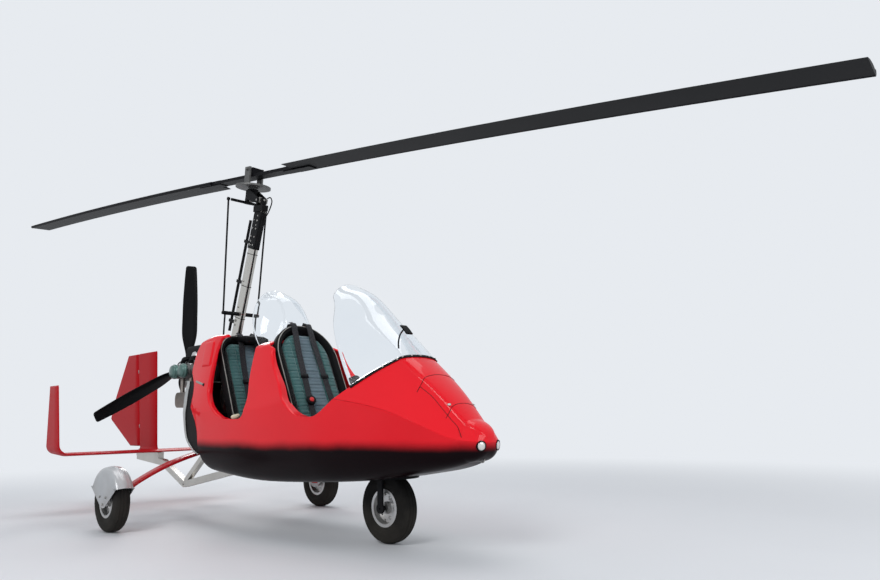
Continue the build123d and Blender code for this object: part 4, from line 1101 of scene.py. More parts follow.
def rolled_edge(grid, depth, steps=8):
    """Both long edges turned inwards: a quarter circle of radius r from the skin, then straight
    in to the depth. Edge point + away * r sin a - outward * (r (1 - cos a))."""
    def lip(line, before):
        """The bend and the straight part beyond one edge, whose neighbour row is before."""
        away = unit(line - before)
        outward = facing_out(unit(np.cross(away, np.gradient(line, axis=0))))
        turn = np.linspace(0, PI / 2, steps + 1)[1:, None, None]
        bend = line + away * LIP_RADIUS * np.sin(turn) - outward * LIP_RADIUS * (1 - np.cos(turn))
        share = np.linspace(0, 1, 4)[1:, None, None]
        return np.concatenate([bend, bend[-1:] - outward * share * depth[:, None]])

    front, rear = lip(grid[-1], grid[-2]), lip(grid[0], grid[1])
    return np.concatenate([rear[::-1], grid, front])


def lip_depth(line):
    """The lip's depth past its bend: deep over the sill, shallow over the shoulders."""
    return np.interp(line[:, 2], [SILL, 0.95, 1.12, 1.22], [0.045, 0.036, 0.016, 0.004])


def sill_line(x):
    """s of the sill."""
    return pod_parameter(x, SILL + 0 * x)


divider_rear = edge([
    (0.470, SILL - 0.01), (0.505, SILL), (0.540, 0.752), (0.566, 0.785), (0.588, 0.880), (0.566, 1.000),
    (0.560, 1.090), (0.562, 1.178), (0.566, 1.320),
])
divider_front = edge([
    (1.270, SILL - 0.01), (1.215, SILL), (1.160, 0.749), (1.100, 0.768), (1.043, 0.800), (0.965, 0.870),
    (0.899, 0.958), (0.830, 1.035), (0.776, 1.107), (0.752, 1.160), (0.742, 1.195), (0.690, 1.225),
    (0.640, 1.255), (0.622, 1.320),
])
divider_half = panel(divider_rear, divider_front, sill_line, lambda x: CROWN + 0 * x, 44, 90)
divider_half = rolled_edge(divider_half, lip_depth(divider_half[-1]))
divider = surface("seat_fairing", both_sides(divider_half), wall=FAIRING_WALL)
round_edges(divider, 0.0022, angle=50)
dress(divider, "red_gelcoat", replaces=["cockpit_divider"])

COWL_TOP = 1.350
cowl_rear = edge([
    (-0.130, SILL), (-0.175, 0.793), (-0.223, 0.842), (-0.221, 0.923), (-0.240, 1.007), (-0.280, 1.045),
    (-0.330, 1.078), (-0.322, 1.160), (-0.300, 1.235), (-0.235, 1.316), (-0.200, COWL_TOP),
])
cowl_front = edge([
    (0.330, SILL), (0.262, 0.750), (0.190, 0.774), (0.120, 0.815), (0.055, 0.870), (0.018, 0.938),
    (0.010, 1.020), (0.018, 1.103), (0.040, 1.230), (0.105, COWL_TOP),
])
cowl_half = panel(
    cowl_rear, cowl_front, sill_line, lambda x: pod_parameter(x, COWL_TOP + 0 * x), 50, 80
)
cowl_half = rolled_edge(cowl_half, lip_depth(cowl_half[-1]) * 0.5)
for side, points in (("left", cowl_half), ("right", mirrored(cowl_half))):
    cowl = surface("engine_cowl_" + side, points, wall=FAIRING_WALL)
    round_edges(cowl, 0.0022, angle=50)
    dress(cowl, "red_gelcoat", replaces=["rear_cowl"])

# Bulge pressed into each cowl: a patch that stands off the skin, flat on top, sunk at its rim
BULGE_COUNT, BULGE_HEIGHT, BULGE_SINK = 36, 0.013, 0.004
bulge_rear = edge([(-0.150, 1.150), (-0.152, 1.306)])
bulge_front = edge([(0.002, 1.110), (0.012, 1.306)])
bulge_half = panel(
    bulge_rear, bulge_front, lambda x: pod_parameter(x, 1.120 + 0 * x),
    lambda x: pod_parameter(x, 1.318 + 0 * x), BULGE_COUNT, BULGE_COUNT,
)
p, q = np.meshgrid(np.linspace(-1, 1, BULGE_COUNT), np.linspace(-1, 1, BULGE_COUNT), indexing="ij")
swell_share = np.clip((1 - p**6) * 1.4, 0, 1) * np.clip((1 - q**6) * 1.4, 0, 1)
outward = unit(np.cross(np.gradient(bulge_half, axis=0), np.gradient(bulge_half, axis=1)))
lift = BULGE_HEIGHT * swell_share - BULGE_SINK
bulge_half = bulge_half + facing_out(outward) * lift[..., None]
for side, points in (("left", bulge_half), ("right", mirrored(bulge_half))):
    dress(surface("cowl_bulge_" + side, points, wall=0.008), "red_gelcoat")
print("fairings", len(divider.data.polygons), len(cowl.data.polygons), "faces")

# %% [markdown]
# ## Grey rim of the rear liner
# Behind the red edge a black liner closes the pod; its black is painted shade, a dark sheet where the
# engine bay lies in shade. A pale moulded rim runs round it: broad beside the engine, thin towards the
# belly. Both follow the pod's own formula, a little inside or outside it, so no gap opens between them
# and the skin.

# %% Shape the liner and its rim
def height_parameter(x, z):
    """The s of a height on the whole side: round the bilge below the belt, and as before above it."""
    fz, _, bz = np.moveaxis(pod_row(x), -1, 0)[:3]
    bilge = 1 + np.arccos(np.clip((bz - z) / (bz - fz), 0, 1)) * 2 / PI
    return np.where(z < bz, bilge, pod_parameter(x, z))


rim_outer = edge([
    (-0.110, 0.492), (-0.185, 0.504), (-0.240, 0.536), (-0.294, 0.578), (-0.330, 0.620), (-0.350, 0.666),
    (-0.377, 0.801), (-0.402, 0.892), (-0.412, 0.968), (-0.402, 1.035),
])
RIM_HEIGHTS = np.linspace(0.497, 1.034, 70)
rim_x = rim_outer(RIM_HEIGHTS)
rim_width = np.interp(
    RIM_HEIGHTS, [0.50, 0.60, 0.75, 0.86, 1.0, 1.034], [0.016, 0.018, 0.030, 0.056, 0.060, 0.040]
)
LINER_CORNER, LINER_INSET = 0.012, 0.010
liner_front = np.interp(
    RIM_HEIGHTS, [0.49, 0.648, 0.74, 0.80, 0.92, 1.034], [-0.045, -0.055, -0.085, -0.130, -0.175, -0.225]
)
across = np.linspace(0, 1, 16)[:, None]
x = liner_front + (rim_x + LINER_CORNER - liner_front) * across
side = pod(x, height_parameter(x, RIM_HEIGHTS + 0 * x), LINER_INSET)
bend = np.linspace(0, PI / 2, 7)[1:, None, None]
corner = side[-1] + LINER_CORNER * (
    (np.cos(bend) - 1) * np.array([0, 1, 0]) - np.sin(bend) * np.array([1, 0, 0])
)
wall = corner[-1] * (1 - np.linspace(0, 1, 20)[1:, None, None] * np.array([0, 1, 0]))
half = np.concatenate([side, corner, wall])
# the liner's black is painted shade: a dark sheet where the engine bay lies in shade
liner = surface("rear_liner_shell", np.concatenate([half, mirrored(half[-2::-1])]), wall=0.005)
round_edges(liner, 0.002, angle=50)
dress(liner, "black_composite", replaces=["rear_liner"])

# The rim arches off the skin: sunk at both edges, and proud in the middle
RIM_SINK, RIM_ARCH = 0.006, 0.008
share = np.linspace(0, 1, 9)[:, None]
x = rim_x + rim_width * share
sunk = RIM_SINK - RIM_ARCH * np.sin(PI * share) ** 0.5 + 0 * x
rim_grid = pod(x, height_parameter(x, RIM_HEIGHTS + 0 * x), sunk)
for side, points in (("left", rim_grid), ("right", mirrored(rim_grid))):
    rim = surface("liner_rim_" + side, points, wall=0.006)
    round_edges(rim, 0.002, angle=50)
    dress(rim, "grey_composite")
print("rim", rim_grid.shape)

# %% [markdown]
# ## Bucket seats
# Each seat is a moulded black bucket: its back and base are one line in the side view, bent round
# at the hips, and its front face is a height field over that line. The height falls from the outer
# bolster into the trough by a smooth step of the distance to the seat's rounded outline.

# %% Describe a seat
SEAT_HALF, SHELL_BACK, BOLSTER_TOP = 0.250, -0.062, 0.014
TROUGH, BOLSTER = -0.046, 0.042
BACK_ROWS, BEND_ROWS, BASE_ROWS = 90, 12, 34
RIM_ROUND = 0.016
BASE_HEIGHT = 0.5
PIPING_INSET, PIPING_RADIUS = 0.010, 0.0032
SEAT_FACING = np.array([0.906, 0, 0.42])
# name: top of the back, hip, knee as (x, z), and the radius of the shoulders
SEATS = {
    "front": ((0.634, 1.378), (1.062, 0.462), (1.385, 0.520), 0.235),
    "rear": ((-0.066, 1.368), (0.300, 0.462), (0.665, 0.520), 0.150),
}


def seat_line(top, hip, knee, reach=0.12):
    """Side-view line of the sitting surface: two straights joined by a quadratic curve."""
    top, hip, knee = (np.array(point, float) for point in (top, hip, knee))
    bend_start, bend_end = hip + unit(top - hip) * reach, hip + unit(knee - hip) * reach
    t = np.linspace(0, 1, BEND_ROWS + 2)[1:-1, None]
    bend = bend_start * (1 - t) ** 2 + 2 * hip * t * (1 - t) + bend_end * t**2
    return np.vstack([
        np.linspace(top, bend_start, BACK_ROWS), bend, np.linspace(bend_end, knee, BASE_ROWS)
    ])


def line_normal(line):
    """Unit normals of a side-view line, towards the sitter."""
    along = unit(np.gradient(line, axis=0))
    return np.stack([-along[:, 1], along[:, 0]], -1)


def seat_half_width(z, top, radius, inset=0.0):
    """Half width at a height: straight below the shoulders, a quarter circle above them."""
    half, high, bend = SEAT_HALF - inset, top[1] - inset, radius - inset
    rise = np.clip((z - (high - bend)) / bend, 0, 1)
    return half - bend + bend * np.sqrt(np.maximum(1 - rise**2, 0))


def outline_distance(y, z, top, radius):
    """How far a point lies inside the seat's outline: from the side, or from the shoulder's arc."""
    high = top[1] - radius
    corner = np.hypot(np.maximum(np.abs(y) - (SEAT_HALF - radius), 0), np.maximum(z - high, 0))
    return np.where(z > high, radius - corner, SEAT_HALF - np.abs(y))


def smooth_step(low, high, value):
    """0 below low, 1 above high, and the cubic 3 t^2 - 2 t^3 between."""
    t = np.clip((value - low) / (high - low), 0, 1)
    return t * t * (3 - 2 * t)


def on_seat(line, normal, y, depth):
    """Points across the seat: the line's point, y to the side, depth along its normal."""
    return np.stack([line[:, :1] + normal[:, :1] * depth, y, line[:, 1:] + normal[:, 1:] * depth], -1)


def seat_shell(name, place):
    """Front sheet with bolsters and trough, and a back sheet, joined round the rim. Front depth =
    trough + (bolster - trough) times a smooth step of the distance to the outline, and both
    sheets turn towards each other by a quarter circle at the rim."""
    top, hip, knee, radius = place
    line = seat_line(top, hip, knee)
    low_part = np.arange(len(line)) > BACK_ROWS + 5
    half = seat_half_width(np.where(low_part, BASE_HEIGHT, line[:, 1] + 1e-4), top, radius)[:, None]
    y = np.maximum(half, 0.02) * np.sin(np.linspace(-PI / 2, PI / 2, 56))[None]
    inside = outline_distance(y, np.where(low_part, BASE_HEIGHT, line[:, 1])[:, None], top, radius)
    rim = np.clip(inside / RIM_ROUND, 0, 1)
    rounding = RIM_ROUND * (1 - np.sqrt(np.maximum(1 - (1 - rim) ** 2, 0)))
    depth = TROUGH + (BOLSTER_TOP - TROUGH) * (1 - smooth_step(0.028, 0.056, inside))
    normal = line_normal(line)
    front = on_seat(line, normal, y, depth - rounding)
    back = on_seat(line, normal, y, SHELL_BACK + rounding)
    rings = with_ends(np.concatenate([front, back[:, ::-1]], axis=1))
    shell = surface(name + "_seat_bucket", rings, wrap_columns=True)
    dress(shell, "seat_plastic", replaces=[name + "_seat_shell"])


def seat_piping(name, place):
    """A cord of piping round the back's rim, from hip to hip over the top: two straights, and a
    quarter circle at each shoulder."""
    top, hip, knee, radius = place
    line = seat_line(top, hip, knee)
    slope = (line[0, 0] - line[60, 0]) / (line[0, 1] - line[60, 1])
    bend = radius - PIPING_INSET
    turn = np.linspace(0, PI / 2, 18)
    corner_y, corner_z = SEAT_HALF - radius, top[1] - radius
    z = np.concatenate([np.linspace(0.62, corner_z, 14)[:-1], corner_z + bend * np.sin(turn)])
    y = np.concatenate([np.full(13, SEAT_HALF - PIPING_INSET), corner_y + bend * np.cos(turn)])
    z, y = np.concatenate([z, z[::-1]]), np.concatenate([y, -y[::-1]])
    x = top[0] + slope * (z - top[1])
    path = np.stack([x, y, z], -1) + SEAT_FACING * (BOLSTER_TOP - 0.002)
    rings = carried(path, ring(PIPING_RADIUS, 8), SEAT_FACING)
    piping = surface(name + "_seat_piping", rings, wrap_columns=True)
    dress(piping, "piping")


for name, place in SEATS.items():
    seat_shell(name, place)
    seat_piping(name, place)
print("buckets made")

# %% [markdown]
# ## Cushions
# A cushion is two sheets of cloth with a filling. A formula could give it a domed front, but not
# the slack of real cloth. So each starts a little too small, is remeshed to even squares, and Cloth
# with pressure swells it for twenty frames. How far a point may move is capped, so the pad stays in
# its bucket. The sewn channels come after, because remeshing would lose them.

# %% Swell and sew the cushions
SEAM_YS = (0.060, 0.112, 0.180)
CROSS_SEAM_STEP = 0.052
SEAM_WIDTH, CROSS_SEAM_WIDTH = 0.0045, 0.0035
PUFF = 0.0022
VOXEL = 0.006
BATCH = 20000


def pad_grid(line, half, rows, front=-0.006, back=TROUGH + 0.003, edge_round=0.016):
    """A flat pillow over part of a seat's line: each row is a ring with rounded sides."""
    part = line[rows]
    turn = np.linspace(0, 2 * PI, 72, endpoint=False)
    c, s = np.cos(turn), np.sin(turn)
    flat_c, flat_s = np.sign(c) * np.abs(c) ** 0.45, np.sign(s) * np.abs(s) ** 0.45
    middle, thick = (front + back) / 2, (front - back) / 2
    lengths = np.r_[0, np.cumsum(np.linalg.norm(np.diff(part, axis=0), axis=1))]
    near_end = np.minimum(lengths, lengths[-1] - lengths)
    round_off = np.sqrt(np.maximum(1 - (1 - np.clip(near_end / edge_round, 0, 1)) ** 2, 0.02))[:, None]
    y = half[:, None] * flat_c[None] * (0.97 + 0.03 * round_off)
    depth = middle + thick * flat_s[None] * round_off
    return with_ends(on_seat(part, line_normal(line)[rows], y, depth))


def vertex_places(made):
    """All vertices of a piece as rows of x, y, z."""
    flat = np.empty(len(made.data.vertices) * 3)
    made.data.vertices.foreach_get("co", flat)
    return flat.reshape(-1, 3)


def swell(pad, pressure=4.0, cap=0.007, frames=20):
    """Cloth under pressure, without gravity; each point moves at most cap metres."""
    remesh = pad.modifiers.new("even", "REMESH")
    remesh.mode, remesh.voxel_size, remesh.use_smooth_shade = "VOXEL", VOXEL, True
    apply_modifiers(pad)
    rest = vertex_places(pad)
    fabric = pad.modifiers.new("fabric", "CLOTH")
    fabric.settings.use_pressure = True
    fabric.settings.uniform_pressure_force = pressure
    fabric.settings.effector_weights.gravity = 0
    fabric.settings.quality = 4
    fabric.point_cache.frame_start, fabric.point_cache.frame_end = 1, frames
    for step in range(1, frames + 1):
        bpy.context.scene.frame_set(step)
    apply_modifiers(pad)
    bpy.context.scene.frame_set(1)
    move = vertex_places(pad) - rest
    far = np.linalg.norm(move, axis=1, keepdims=True)
    move = move * np.minimum(1, cap / np.maximum(far, 1e-9))
    pad.data.vertices.foreach_set("co", (rest + move).ravel())
    pad.data.update()
    return pad


def sew(pad, line, depth=0.0055):
    """Push the front in along the seams, by depth times a bell curve of the distance to the seam,
    and out between them by a sine. The three bands then get their own cloths."""
    smooth = pad.modifiers.new("fine", "SUBSURF")
    smooth.levels = smooth.render_levels = 1
    apply_modifiers(pad)
    place = vertex_places(pad)
    lengths = np.r_[0, np.cumsum(np.linalg.norm(np.diff(line, axis=0), axis=1))]
    nearest = np.empty(len(place), int)
    for start in range(0, len(place), BATCH):
        gap = place[start:start + BATCH, None, ::2] - line[None]
        nearest[start:start + BATCH] = (gap**2).sum(-1).argmin(1)
    normal = line_normal(line)[nearest]
    offset = place[:, ::2] - line[nearest]
    height = (offset * normal).sum(1)
    along = lengths[nearest] + (offset * np.stack([normal[:, 1], -normal[:, 0]], -1)).sum(1)
    front = smooth_step(-0.030, -0.012, height)
    aside = np.abs(place[:, 1])
    dent = sum(np.exp(-((aside - seam) / SEAM_WIDTH) ** 2) for seam in SEAM_YS)
    in_band = smooth_step(0.19, 0.175, aside)
    half_step = CROSS_SEAM_STEP / 2
    to_seam = np.abs((along + half_step) % CROSS_SEAM_STEP - half_step)
    dent = dent + 0.55 * np.exp(-(to_seam / CROSS_SEAM_WIDTH) ** 2) * in_band
    puff = PUFF * in_band * np.sin(PI * np.clip(to_seam / half_step, 0, 1))
    push = (puff - depth * np.minimum(dent, 1.2)) * front
    place[:, 0] += normal[:, 0] * push
    place[:, 2] += normal[:, 1] * push
    pad.data.vertices.foreach_set("co", place.ravel())
    pad.data.update()
    centre = np.empty(len(pad.data.polygons) * 3)
    pad.data.polygons.foreach_get("center", centre)
    aside = np.abs(centre.reshape(-1, 3)[:, 1])
    cloth_number = np.select([aside > SEAM_YS[-1], aside < SEAM_YS[0]], [1, 2], 0).astype(np.int32)
    pad.data.materials.clear()
    for band in ("seat_teal", "seat_mesh", "seat_centre"):
        pad.data.materials.append(finishes[band])
    pad.data.polygons.foreach_set("material_index", cloth_number)
    pad.data.shade_smooth()


for name, place in SEATS.items():
    top, hip, knee, radius = place
    line = seat_line(top, hip, knee)
    inset = BOLSTER + 0.006
    rows = np.flatnonzero((line[:, 1] < top[1] - inset) & (np.arange(len(line)) < BACK_ROWS - 2))
    half = np.maximum(seat_half_width(line[rows, 1], top, radius, inset), 0.03)
    back = surface(name + "_back_pad", pad_grid(line, half, rows), wrap_columns=True)
    rows = np.arange(len(line) - BASE_ROWS + 3, len(line) - 1)
    half = np.full(len(rows), SEAT_HALF - inset)
    base = surface(name + "_base_pad", pad_grid(line, half, rows), wrap_columns=True)
    for pad, node in ((back, "_back_cushion"), (base, "_base_cushion")):
        sew(swell(pad), line)
        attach(pad, "airframe")
        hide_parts(name + node)
        print(pad.name, len(pad.data.polygons), "faces")

# %% [markdown]
# ## Harness
# Each seat has a four-point harness. A strap is a flat band of webbing, so it is a thin plate
# carried along a line that rests on the pads. The buckle is a rounded block with a red button.

# %% Lay the harness
STRAP_WIDTH, STRAP_THICK = 0.048, 0.0028


def strap(points):
    """Webbing along a line: a thin plate whose broad side faces the sitter."""
    path = line_through(points, 60)
    side = np.cross(unit(np.gradient(path, axis=0)), (0.85, 0, 0.5))
    rings = carried(path, plate(STRAP_WIDTH, STRAP_THICK, 0.35, 16), side)
    return surface("strap", rings, wrap_columns=True)


def seat_point(line, share, y, lift):
    """A point over the sitting surface: share runs from the top (0) to the knee (1)."""
    row = int(round(share * (len(line) - 1)))
    normal = line_normal(line)[row]
    return (line[row, 0] + normal[0] * lift, y, line[row, 1] + normal[1] * lift)


for name, place in SEATS.items():
    line = seat_line(*place[:3])
    straps, fittings = [], []
    for side in (-1, 1):
        over = seat_point(line, 0.0, side * 0.062, 0.012)
        straps.append(strap([
            (over[0] - 0.055, side * 0.060, over[2] - 0.055),
            (over[0] - 0.030, side * 0.061, over[2] + 0.001),
            (over[0] + 0.006, side * 0.062, over[2] + 0.004),
            seat_point(line, 0.06, side * 0.066, 0.019), seat_point(line, 0.18, side * 0.076, 0.012),
            seat_point(line, 0.34, side * 0.084, 0.010), seat_point(line, 0.48, side * 0.092, 0.010),
            seat_point(line, 0.60, side * 0.080, 0.012), seat_point(line, 0.70, side * 0.052, 0.026),
            seat_point(line, 0.745, side * 0.030, 0.044),
        ]))
        straps.append(strap([
            seat_point(line, 0.70, side * 0.232, 0.020), seat_point(line, 0.73, side * 0.205, 0.030),
            seat_point(line, 0.76, side * 0.150, 0.030), seat_point(line, 0.765, side * 0.090, 0.036),
            seat_point(line, 0.755, side * 0.035, 0.046),
        ]))
        for share, y, lift in ((0.30, side * 0.083, 0.014), (0.765, side * 0.120, 0.036)):
            path = [seat_point(line, share + step, y, lift) for step in (-0.012, 0.012)]
            rings = carried(path, plate(0.060, 0.008, 0.3, 24))
            fittings.append(surface("slider", rings, wrap_columns=True))
    dress(join(name + "_harness", *straps), "webbing")
    dress(join(name + "_harness_sliders", *fittings), "black_metal")
    buckle_at = np.array(seat_point(line, 0.44, -0.092, 0.024))
    facing = np.array([0.90, -0.10, 0.42])
    buckle = turned(
        name + "_buckle",
        [(0, -0.010), (0.030, -0.010), (0.034, -0.004), (0.034, 0.006), (0.029, 0.012), (0, 0.013)],
        buckle_at, facing, 40,
    )
    dress(buckle, "black_metal")
    press = turned(
        name + "_buckle_button", knob(0.017, 0.008, 0.5), buckle_at + facing * 0.010, facing, 32
    )
    dress(press, "red_button")
print("harness laid")

# %% [markdown]
# ## Clear screens
# A real screen is a flat sheet of acrylic, bent warm over a form. It could be cut from a sphere,
# which would bulge too much. Here one sheet runs over arches: each is a circle's arc in a leaning
# plane, and its place, lean, half width and drop run smoothly from the lowest arch to the top. A
# black seal with fasteners holds the foot.

# %% Bend the screens
SHEET_COLUMNS = 72
ROUND_FROM = 0.84
# base point x and z, direction towards the arch's feet x and z, half width, drop
FRONT_ARCHES = [
    (1.826, 1.066, -0.833, -0.553, 0.312, 0.262), (1.575, 1.315, -0.94, -0.34, 0.272, 0.205),
    (1.390, 1.498, -0.80, -0.60, 0.198, 0.125), (1.225, 1.585, -0.55, -0.83, 0.148, 0.062),
]
REAR_ARCHES = [
    (0.590, 1.262, -0.20, -0.98, 0.262, 0.078), (0.568, 1.440, -0.90, -0.43, 0.245, 0.150),
    (0.490, 1.590, -0.80, -0.60, 0.205, 0.140), (0.350, 1.665, -0.50, -0.87, 0.140, 0.060),
]


def arch_sheet(arches, rows=60, columns=SHEET_COLUMNS):
    """Sheet = base + down times the arc's drop + y, with radius (f^2 + d^2) / 2d for feet at
    half width f and drop d. Near the top the arcs get shorter, which rounds both corners."""
    sizes = line_through(np.array(arches), rows)
    down = unit(sizes[:, 2:4])
    feet, drop = sizes[:, 4:5], np.maximum(sizes[:, 5:6], 1e-4)
    radius = (feet**2 + drop**2) / (2 * drop)
    reach = np.arccos(np.clip(1 - drop / radius, -1, 1))
    near_top = np.clip((np.linspace(0, 1, rows) - ROUND_FROM) / (1 - ROUND_FROM), 0, 1)[:, None]
    reach = reach * np.sqrt(1 - 0.82 * near_top**2)
    turn = np.linspace(-1, 1, columns)[None] * reach
    fall = radius * (1 - np.cos(turn))
    x = sizes[:, :1] + down[:, :1] * fall
    z = sizes[:, 1:2] + down[:, 1:2] * fall
    return np.stack([x, radius * np.sin(turn), z], -1)


def foot_curve(columns=SHEET_COLUMNS, low=3.22, ahead=0.014):
    """Where the front screen stands: along the hood's rear edge, a little ahead of it."""
    w = np.linspace(-1, 1, columns)
    s = CROWN - np.abs(w) * (CROWN - low)
    x = 1.7 + 0 * w
    for _ in range(60):
        x = x + 0.3 * (opening_edge(pod(x, s, soft=0.0)[..., 2]) + ahead - x)
    place = pod(x, s, -0.004)
    return place * np.stack([np.ones_like(w), np.where(w < 0, -1, 1), np.ones_like(w)], -1)


for name, arches in (("front_screen", FRONT_ARCHES), ("rear_screen", REAR_ARCHES)):
    sheet = arch_sheet(arches)
    if name == "front_screen":
        hold = (1 - smooth_step(0, 0.42, np.linspace(0, 1, len(sheet))))[:, None, None]
        sheet = sheet + hold * (foot_curve() - sheet[0])
    made = surface(name + "_sheet", sheet, wall=0.004)
    dress(made, "clear_screen", replaces=[name])
    foot = sheet[0]
    rings = carried(foot, plate(0.015, 0.0065, 0.5, 20), unit(sheet[2] - sheet[0]))
    seal = surface(name + "_seal", rings, wrap_columns=True)
    dress(seal, "seal_rubber")
    screws = []
    for row in np.linspace(4, len(foot) - 5, 11).astype(int):
        outward = unit(np.cross(foot[row + 1] - foot[row - 1], sheet[3, row] - sheet[0, row]))
        outward = outward * (1 if outward[2] > 0 else -1)
        screws.append(bolt(foot[row] + outward * 0.004, outward, 0.006, 0.004, 16))
    dress(join(name + "_screws", *screws), "dull_steel")
print("screens bent")

# %% [markdown]
# ## Undercarriage
# The main legs are one red bow of glass fibre, a flat section carried along an arch. The tyres are
# lathe shapes with three grooves: as real dents, because a bump alone vanishes at the outline. Each
# mudguard is a domed strip over the wheel whose sides come down to a point beside the axle.

# %% Shape the bow, tyres and mudguards
MAIN_X, TRACK_HALF, TYRE_RADIUS = -0.281, 0.870, 0.205
# y and z of the bow's middle line, from the belly out to a wheel
bow_side = [
    (0.0, 0.545), (0.130, 0.529), (0.245, 0.500), (0.400, 0.455), (0.532, 0.406), (0.650, 0.350),
    (0.742, 0.296), (0.790, 0.245), (0.812, 0.200),
]
bow_points = [(MAIN_X, -y, z) for y, z in bow_side[:0:-1]] + [(MAIN_X, y, z) for y, z in bow_side]
bow_path = line_through(bow_points, 120)
taper = 1 - 0.26 * smooth_step(0.25, 0.80, np.abs(bow_path[:, 1]))
size = np.stack([taper, np.ones_like(taper)], -1)
rings = carried(bow_path, plate(0.108, 0.026, 0.45, 36), (1, 0, 0), scale=size)
bow_parts = [surface("landing_bow", rings, wrap_columns=True)]
for side in (-1, 1):
    bow_parts.append(turned(
        "boss", [(0, 0), (0.030, 0), (0.034, 0.004), (0.034, 0.018), (0.030, 0.022), (0, 0.022)],
        (MAIN_X, side * 0.822, TYRE_RADIUS), (0, side, 0), 40,
    ))
dress(join("landing_bow", *bow_parts), "red_metal", replaces=["gear_bow"])


def tyre_profile(groove=0.004):
    """Closed lathe profile: bead, sidewall and a rounded tread with three grooves, each a flat
    bell curve exp(-(d / w)^4) of the distance to its middle."""
    seat, half, bead = 0.042, 0.0505, 0.110
    angle = np.linspace(-1, 1, 61)
    y = half * np.sin(angle * PI / 2) * 0.92
    radius = TYRE_RADIUS - 0.030 * np.abs(angle) ** 2.6
    for place in (-0.021, 0.0, 0.021):
        radius = radius - groove * np.exp(-((y - place) / 0.0028) ** 4)
    side_t = np.linspace(0, 1, 14)[1:]
    side_radius = radius[-1] + (bead - radius[-1]) * side_t
    side_y = y[-1] + (seat - y[-1]) * side_t
    side_y = side_y + 0.006 * np.sin(PI * side_t) - 0.0016 * np.cos(side_t * 26) ** 8
    side_y = np.minimum(side_y, half + 0.0003)
    wall = np.stack([side_radius, side_y], -1)
    return np.concatenate([(wall * (1, -1))[::-1], np.stack([radius, y], -1), wall])


BOLT_CIRCLE, DISC_HALF = 0.078, 0.0105
wheels = {
    "tyre_left": ((MAIN_X, TRACK_HALF, TYRE_RADIUS), "wheel_left"),
    "tyre_right": ((MAIN_X, -TRACK_HALF, TYRE_RADIUS), "wheel_right"),
    "nose_tyre": ((AXLE_X, 0, TYRE_RADIUS), "nose_wheel"),
}
valve_path = np.array([(0.088, 0.020, 0), (0.075, 0.030, 0), (0.068, 0.040, 0)])
for node, (middle, body) in wheels.items():
    tyre = turned(node + "_grooved", tyre_profile(), middle, (0, 1, 0), 96, closed=True)
    dress(tyre, "rubber", body, [node])
    bolts = []
    for turn in np.arange(5) * 2 * PI / 5 + 0.6:
        spot = np.array(middle) + BOLT_CIRCLE * np.array([np.cos(turn), 0, np.sin(turn)])
        for side in (-1, 1):
            bolts.append(bolt(spot + (0, side * DISC_HALF, 0), (0, side, 0), 0.007))
    bolts.append(tube("valve", np.array(middle) + valve_path, 0.003, 8, 8))
    dress(join(node + "_bolts", *bolts), "dull_steel", body)


GUARD_HALF, SCREW_OUT = 0.063, 0.0655


def mudguard(side):
    """Across the wheel: a domed top, a quarter-circle corner, then a flat side that runs straight
    from the rim's arc to the V-shaped lower edge. Along the wheel: the angle about the axle."""
    outer, half, corner, crown = 0.2329, GUARD_HALF, 0.034, 0.005
    turn = np.radians(np.linspace(24, 156, 76))[None]
    edge_share = np.linspace(0, 1, 76)
    low_x = np.interp(edge_share, [0, 0.42, 0.58, 1], [0.213, 0.035, -0.035, -0.213])
    low_z = np.interp(edge_share, [0, 0.42, 0.50, 0.58, 1], [0.095, -0.036, -0.044, -0.036, 0.095])
    w = np.linspace(-1, 1, 81)[:, None]
    size = np.abs(w)
    flat = half - corner
    bend = np.clip((size - 0.3) / 0.25, 0, 1) * PI / 2
    drop = np.clip((size - 0.55) / 0.45, 0, 1)
    top = np.clip(size / 0.3, 0, 1)
    y = np.sign(w) * (flat * top + corner * np.sin(bend)) + 0 * turn
    radius = outer - crown * top**2 - (corner - crown) * (1 - np.cos(bend))
    x = radius * np.cos(turn) * (1 - drop) + low_x[None] * drop
    z = radius * np.sin(turn) * (1 - drop) + low_z[None] * drop
    return np.stack([MAIN_X + x, side * TRACK_HALF + y, TYRE_RADIUS + z], -1)


for side, name in ((1, "left"), (-1, "right")):
    guard = surface("mudguard_" + name, mudguard(side), wall=0.004)
    round_edges(guard, 0.0015, angle=50)
    dress(guard, "silver_shell", replaces=["fender_" + name])
    outside = side * (TRACK_HALF + SCREW_OUT)
    screws = [
        bolt((MAIN_X + ahead, outside, TYRE_RADIUS + up), (0, side, 0), 0.008, 0.004, 16)
        for ahead, up in ((0.0, -0.018), (-0.05, 0.03), (0.05, 0.03))
    ]
    dress(join("mudguard_screws_" + name, *screws), "dull_steel")
print("undercarriage made")

# %% [markdown]
# ## Tail
# The tailplane and its upright ends are one moulding: an aerofoil carried along a line that turns
# up at both ends. Fin and rudder are stacks of aerofoil rings between their edges in the side view.

# %% Shape the tail
TAIL_Z, END_Y, TAIL_BEND = 0.480, 0.8155, 0.075
END_TOP = 1.047
END_RISE = END_TOP - TAIL_Z


def aerofoil(count=64, nose=0.30, tail=0.10):
    """A closed ring of (chord share, half thickness share): an ellipse's quarter to the thickest
    place, then a straight taper to the tail."""
    turn = np.linspace(0, 2 * PI, count, endpoint=False)
    share = (1 - np.cos(turn)) / 2
    ahead = np.sqrt(np.maximum(1 - (1 - share / nose) ** 2, 0))
    thick = np.where(share < nose, ahead, 1 - (1 - tail) * (share - nose) / (1 - nose))
    thick = thick * np.sqrt(np.clip((1 - share) / 0.02, 0, 1))
    return share, thick * np.where(turn < PI, 1, -1)


